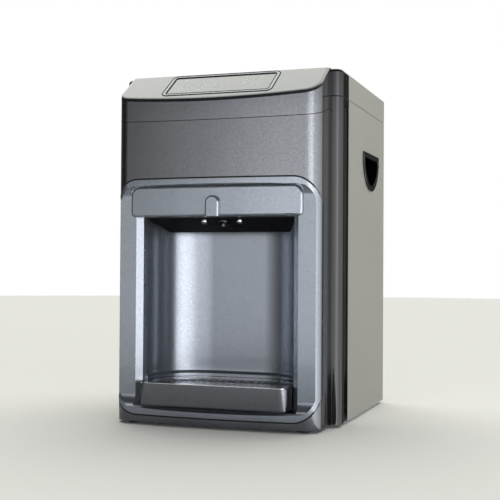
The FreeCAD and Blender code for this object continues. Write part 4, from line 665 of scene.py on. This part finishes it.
# How bright the room is, by the angle seen from above: 0 is straight in front, 90 to the right.
ROOM = [
    (-180, 0.3), (-158, 0.75), (-146, 0.12), (-105, 0.08), (-90, 0.03), (-66, 0.04), (-50, 0.25), (-38, 0.6),
    (-21, 1.3), (-8, 2.2), (4, 2.5), (18, 2.7), (32, 4.4), (50, 5.2), (60, 4.6), (68, 3.2), (76, 2.8),
    (84, 2.8), (100, 2.3), (130, 1.3), (150, 0.7), (158, 0.1), (174, 0.06), (180, 0.3),
]
ROOM_TOP = 8.0                # the level that the ramp's white stands for
FADE = (0.12, 0.31)           # the walls fade between these heights, as sines of the angle up, and keep this
FADED = 0.03                  # part of their light above
CEILING = 1.8
BANK_TINT = "#fffff6"
BANK_AT = (-0.1, 0.5, 0.86)   # the ceiling bank is above and a little behind
BANK_EDGE = (0.6, 0.85)       # cosines of the angle from its middle where its soft edge ends and begins
SENSOR, LENS = 36, 72.96      # in millimetres
CAMERA_AT = (0.50329, -1.47745, 0.22369)
CAMERA_TURN = (19.02, 0.91, 0.36)   # turned left, tipped up and rolled by these angles, in degrees


def make_floor():
    """A pale board. The casing mirrors a darker table close by, and the open room further off."""
    bpy.ops.object.select_all(action="DESELECT")
    bpy.ops.mesh.primitive_circle_add(vertices=96, radius=FLOOR_RADIUS, fill_type="NGON", location=(0, 0, 0))
    floor = bpy.context.object
    floor.name = "studio_floor"
    material, tree, where = blank("matt_white_board")
    mirrored = put(tree, "ShaderNodeLightPath").outputs["Is Glossy Ray"]
    ends = {MIX_FACTOR: mirrored, MIX_A: linear(FLOOR), MIX_B: linear(DARK_TABLE)}
    tone = put(tree, "ShaderNodeMix", ends, data_type="RGBA")
    board = put(tree, "ShaderNodeBsdfDiffuse", {"Color": tone.outputs[MIX_OUT]})
    distance = put(tree, "ShaderNodeVectorMath", {0: where, 1: TABLE_AT}, operation="DISTANCE")
    far = put(tree, "ShaderNodeMath", {0: distance.outputs["Value"], 1: TABLE_RADIUS},
              operation="GREATER_THAN")
    opened = put(tree, "ShaderNodeMath", {0: far.outputs[0], 1: mirrored}, operation="MULTIPLY")
    clear = put(tree, "ShaderNodeBsdfTransparent")
    surface = put(tree, "ShaderNodeMixShader", {0: opened.outputs[0], 1: board.outputs[0],
                                                2: clear.outputs[0]})
    put(tree, "ShaderNodeOutputMaterial", {"Surface": surface.outputs[0]})
    floor.data.materials.append(material)


def make_world():
    """A dark flag on the left, a tall bank of light right of the camera, and a lit ceiling. The camera sees
    it all as plain white."""
    world = bpy.data.worlds.new("studio")
    bpy.context.scene.world = world
    world.use_nodes = True
    tree = world.node_tree
    tree.nodes.clear()
    where = put(tree, "ShaderNodeTexCoord").outputs["Generated"]
    axis = put(tree, "ShaderNodeSeparateXYZ", {"Vector": where})
    ahead = put(tree, "ShaderNodeMath", {0: axis.outputs["Y"], 1: -1.0}, operation="MULTIPLY")
    angle = put(tree, "ShaderNodeMath", {0: axis.outputs["X"], 1: ahead.outputs[0]}, operation="ARCTAN2")
    turn = put(tree, "ShaderNodeMapRange", carried(angle.outputs[0], 0.0, 1.0, -math.pi, math.pi))
    ramp = put(tree, "ShaderNodeValToRGB", {"Fac": turn.outputs["Result"]})
    stops = ramp.color_ramp.elements
    for n, (degrees, level) in enumerate(ROOM):
        place = (degrees + 180) / 360
        stop = stops[n] if n < 2 else stops.new(place)
        stop.position = place
        stop.color = (level / ROOM_TOP, level / ROOM_TOP, level / ROOM_TOP, 1)
    walls = put(tree, "ShaderNodeMath", {0: ramp.outputs["Color"], 1: ROOM_TOP}, operation="MULTIPLY")
    fade = put(tree, "ShaderNodeMapRange", carried(axis.outputs["Z"], 1.0, FADED, *FADE),
               interpolation_type="SMOOTHSTEP").outputs["Result"]
    banded = put(tree, "ShaderNodeMath", {0: walls.outputs[0], 1: fade}, operation="MULTIPLY")
    over = put(tree, "ShaderNodeVectorMath", {0: where, 1: BANK_AT}, operation="DOT_PRODUCT")
    high = put(tree, "ShaderNodeMapRange", carried(over.outputs["Value"], 0.0, 1.0, *BANK_EDGE),
               interpolation_type="SMOOTHSTEP")
    bank = [CEILING * part for part in linear(BANK_TINT)[:3]] + [1.0]
    room = put(tree, "ShaderNodeMix", {MIX_FACTOR: high.outputs["Result"], MIX_A: banded.outputs[0],
                                       MIX_B: bank}, data_type="RGBA")
    seen = put(tree, "ShaderNodeLightPath").outputs["Is Camera Ray"]
    level = put(tree, "ShaderNodeMix", {MIX_FACTOR: seen, MIX_A: room.outputs[MIX_OUT],
                                        MIX_B: linear("#ffffff")}, data_type="RGBA")
    glow = put(tree, "ShaderNodeBackground", {"Color": level.outputs[MIX_OUT], "Strength": 1.0})
    put(tree, "ShaderNodeOutputWorld", {"Surface": glow.outputs["Background"]})


def make_camera():
    """A camera level with the middle of the machine and to its right."""
    data = bpy.data.cameras.new("camera")
    data.sensor_width = SENSOR
    data.lens = LENS
    camera = bpy.data.objects.new("camera", data)
    yaw, pitch, roll = (math.radians(a) for a in CAMERA_TURN)
    forward = Vector((-math.sin(yaw) * math.cos(pitch), math.cos(yaw) * math.cos(pitch), math.sin(pitch)))
    right = forward.cross(Vector((0, 0, 1))).normalized()
    up = right.cross(forward)
    side = right * math.cos(roll) + up * math.sin(roll)
    top = up * math.cos(roll) - right * math.sin(roll)
    turn = Matrix((side, top, -forward)).transposed()
    camera.matrix_world = Matrix.Translation(CAMERA_AT) @ turn.to_4x4()
    bpy.context.scene.collection.objects.link(camera)
    bpy.context.scene.camera = camera


make_floor()
make_world()
make_camera()
bpy.context.scene.view_settings.view_transform = "Standard"
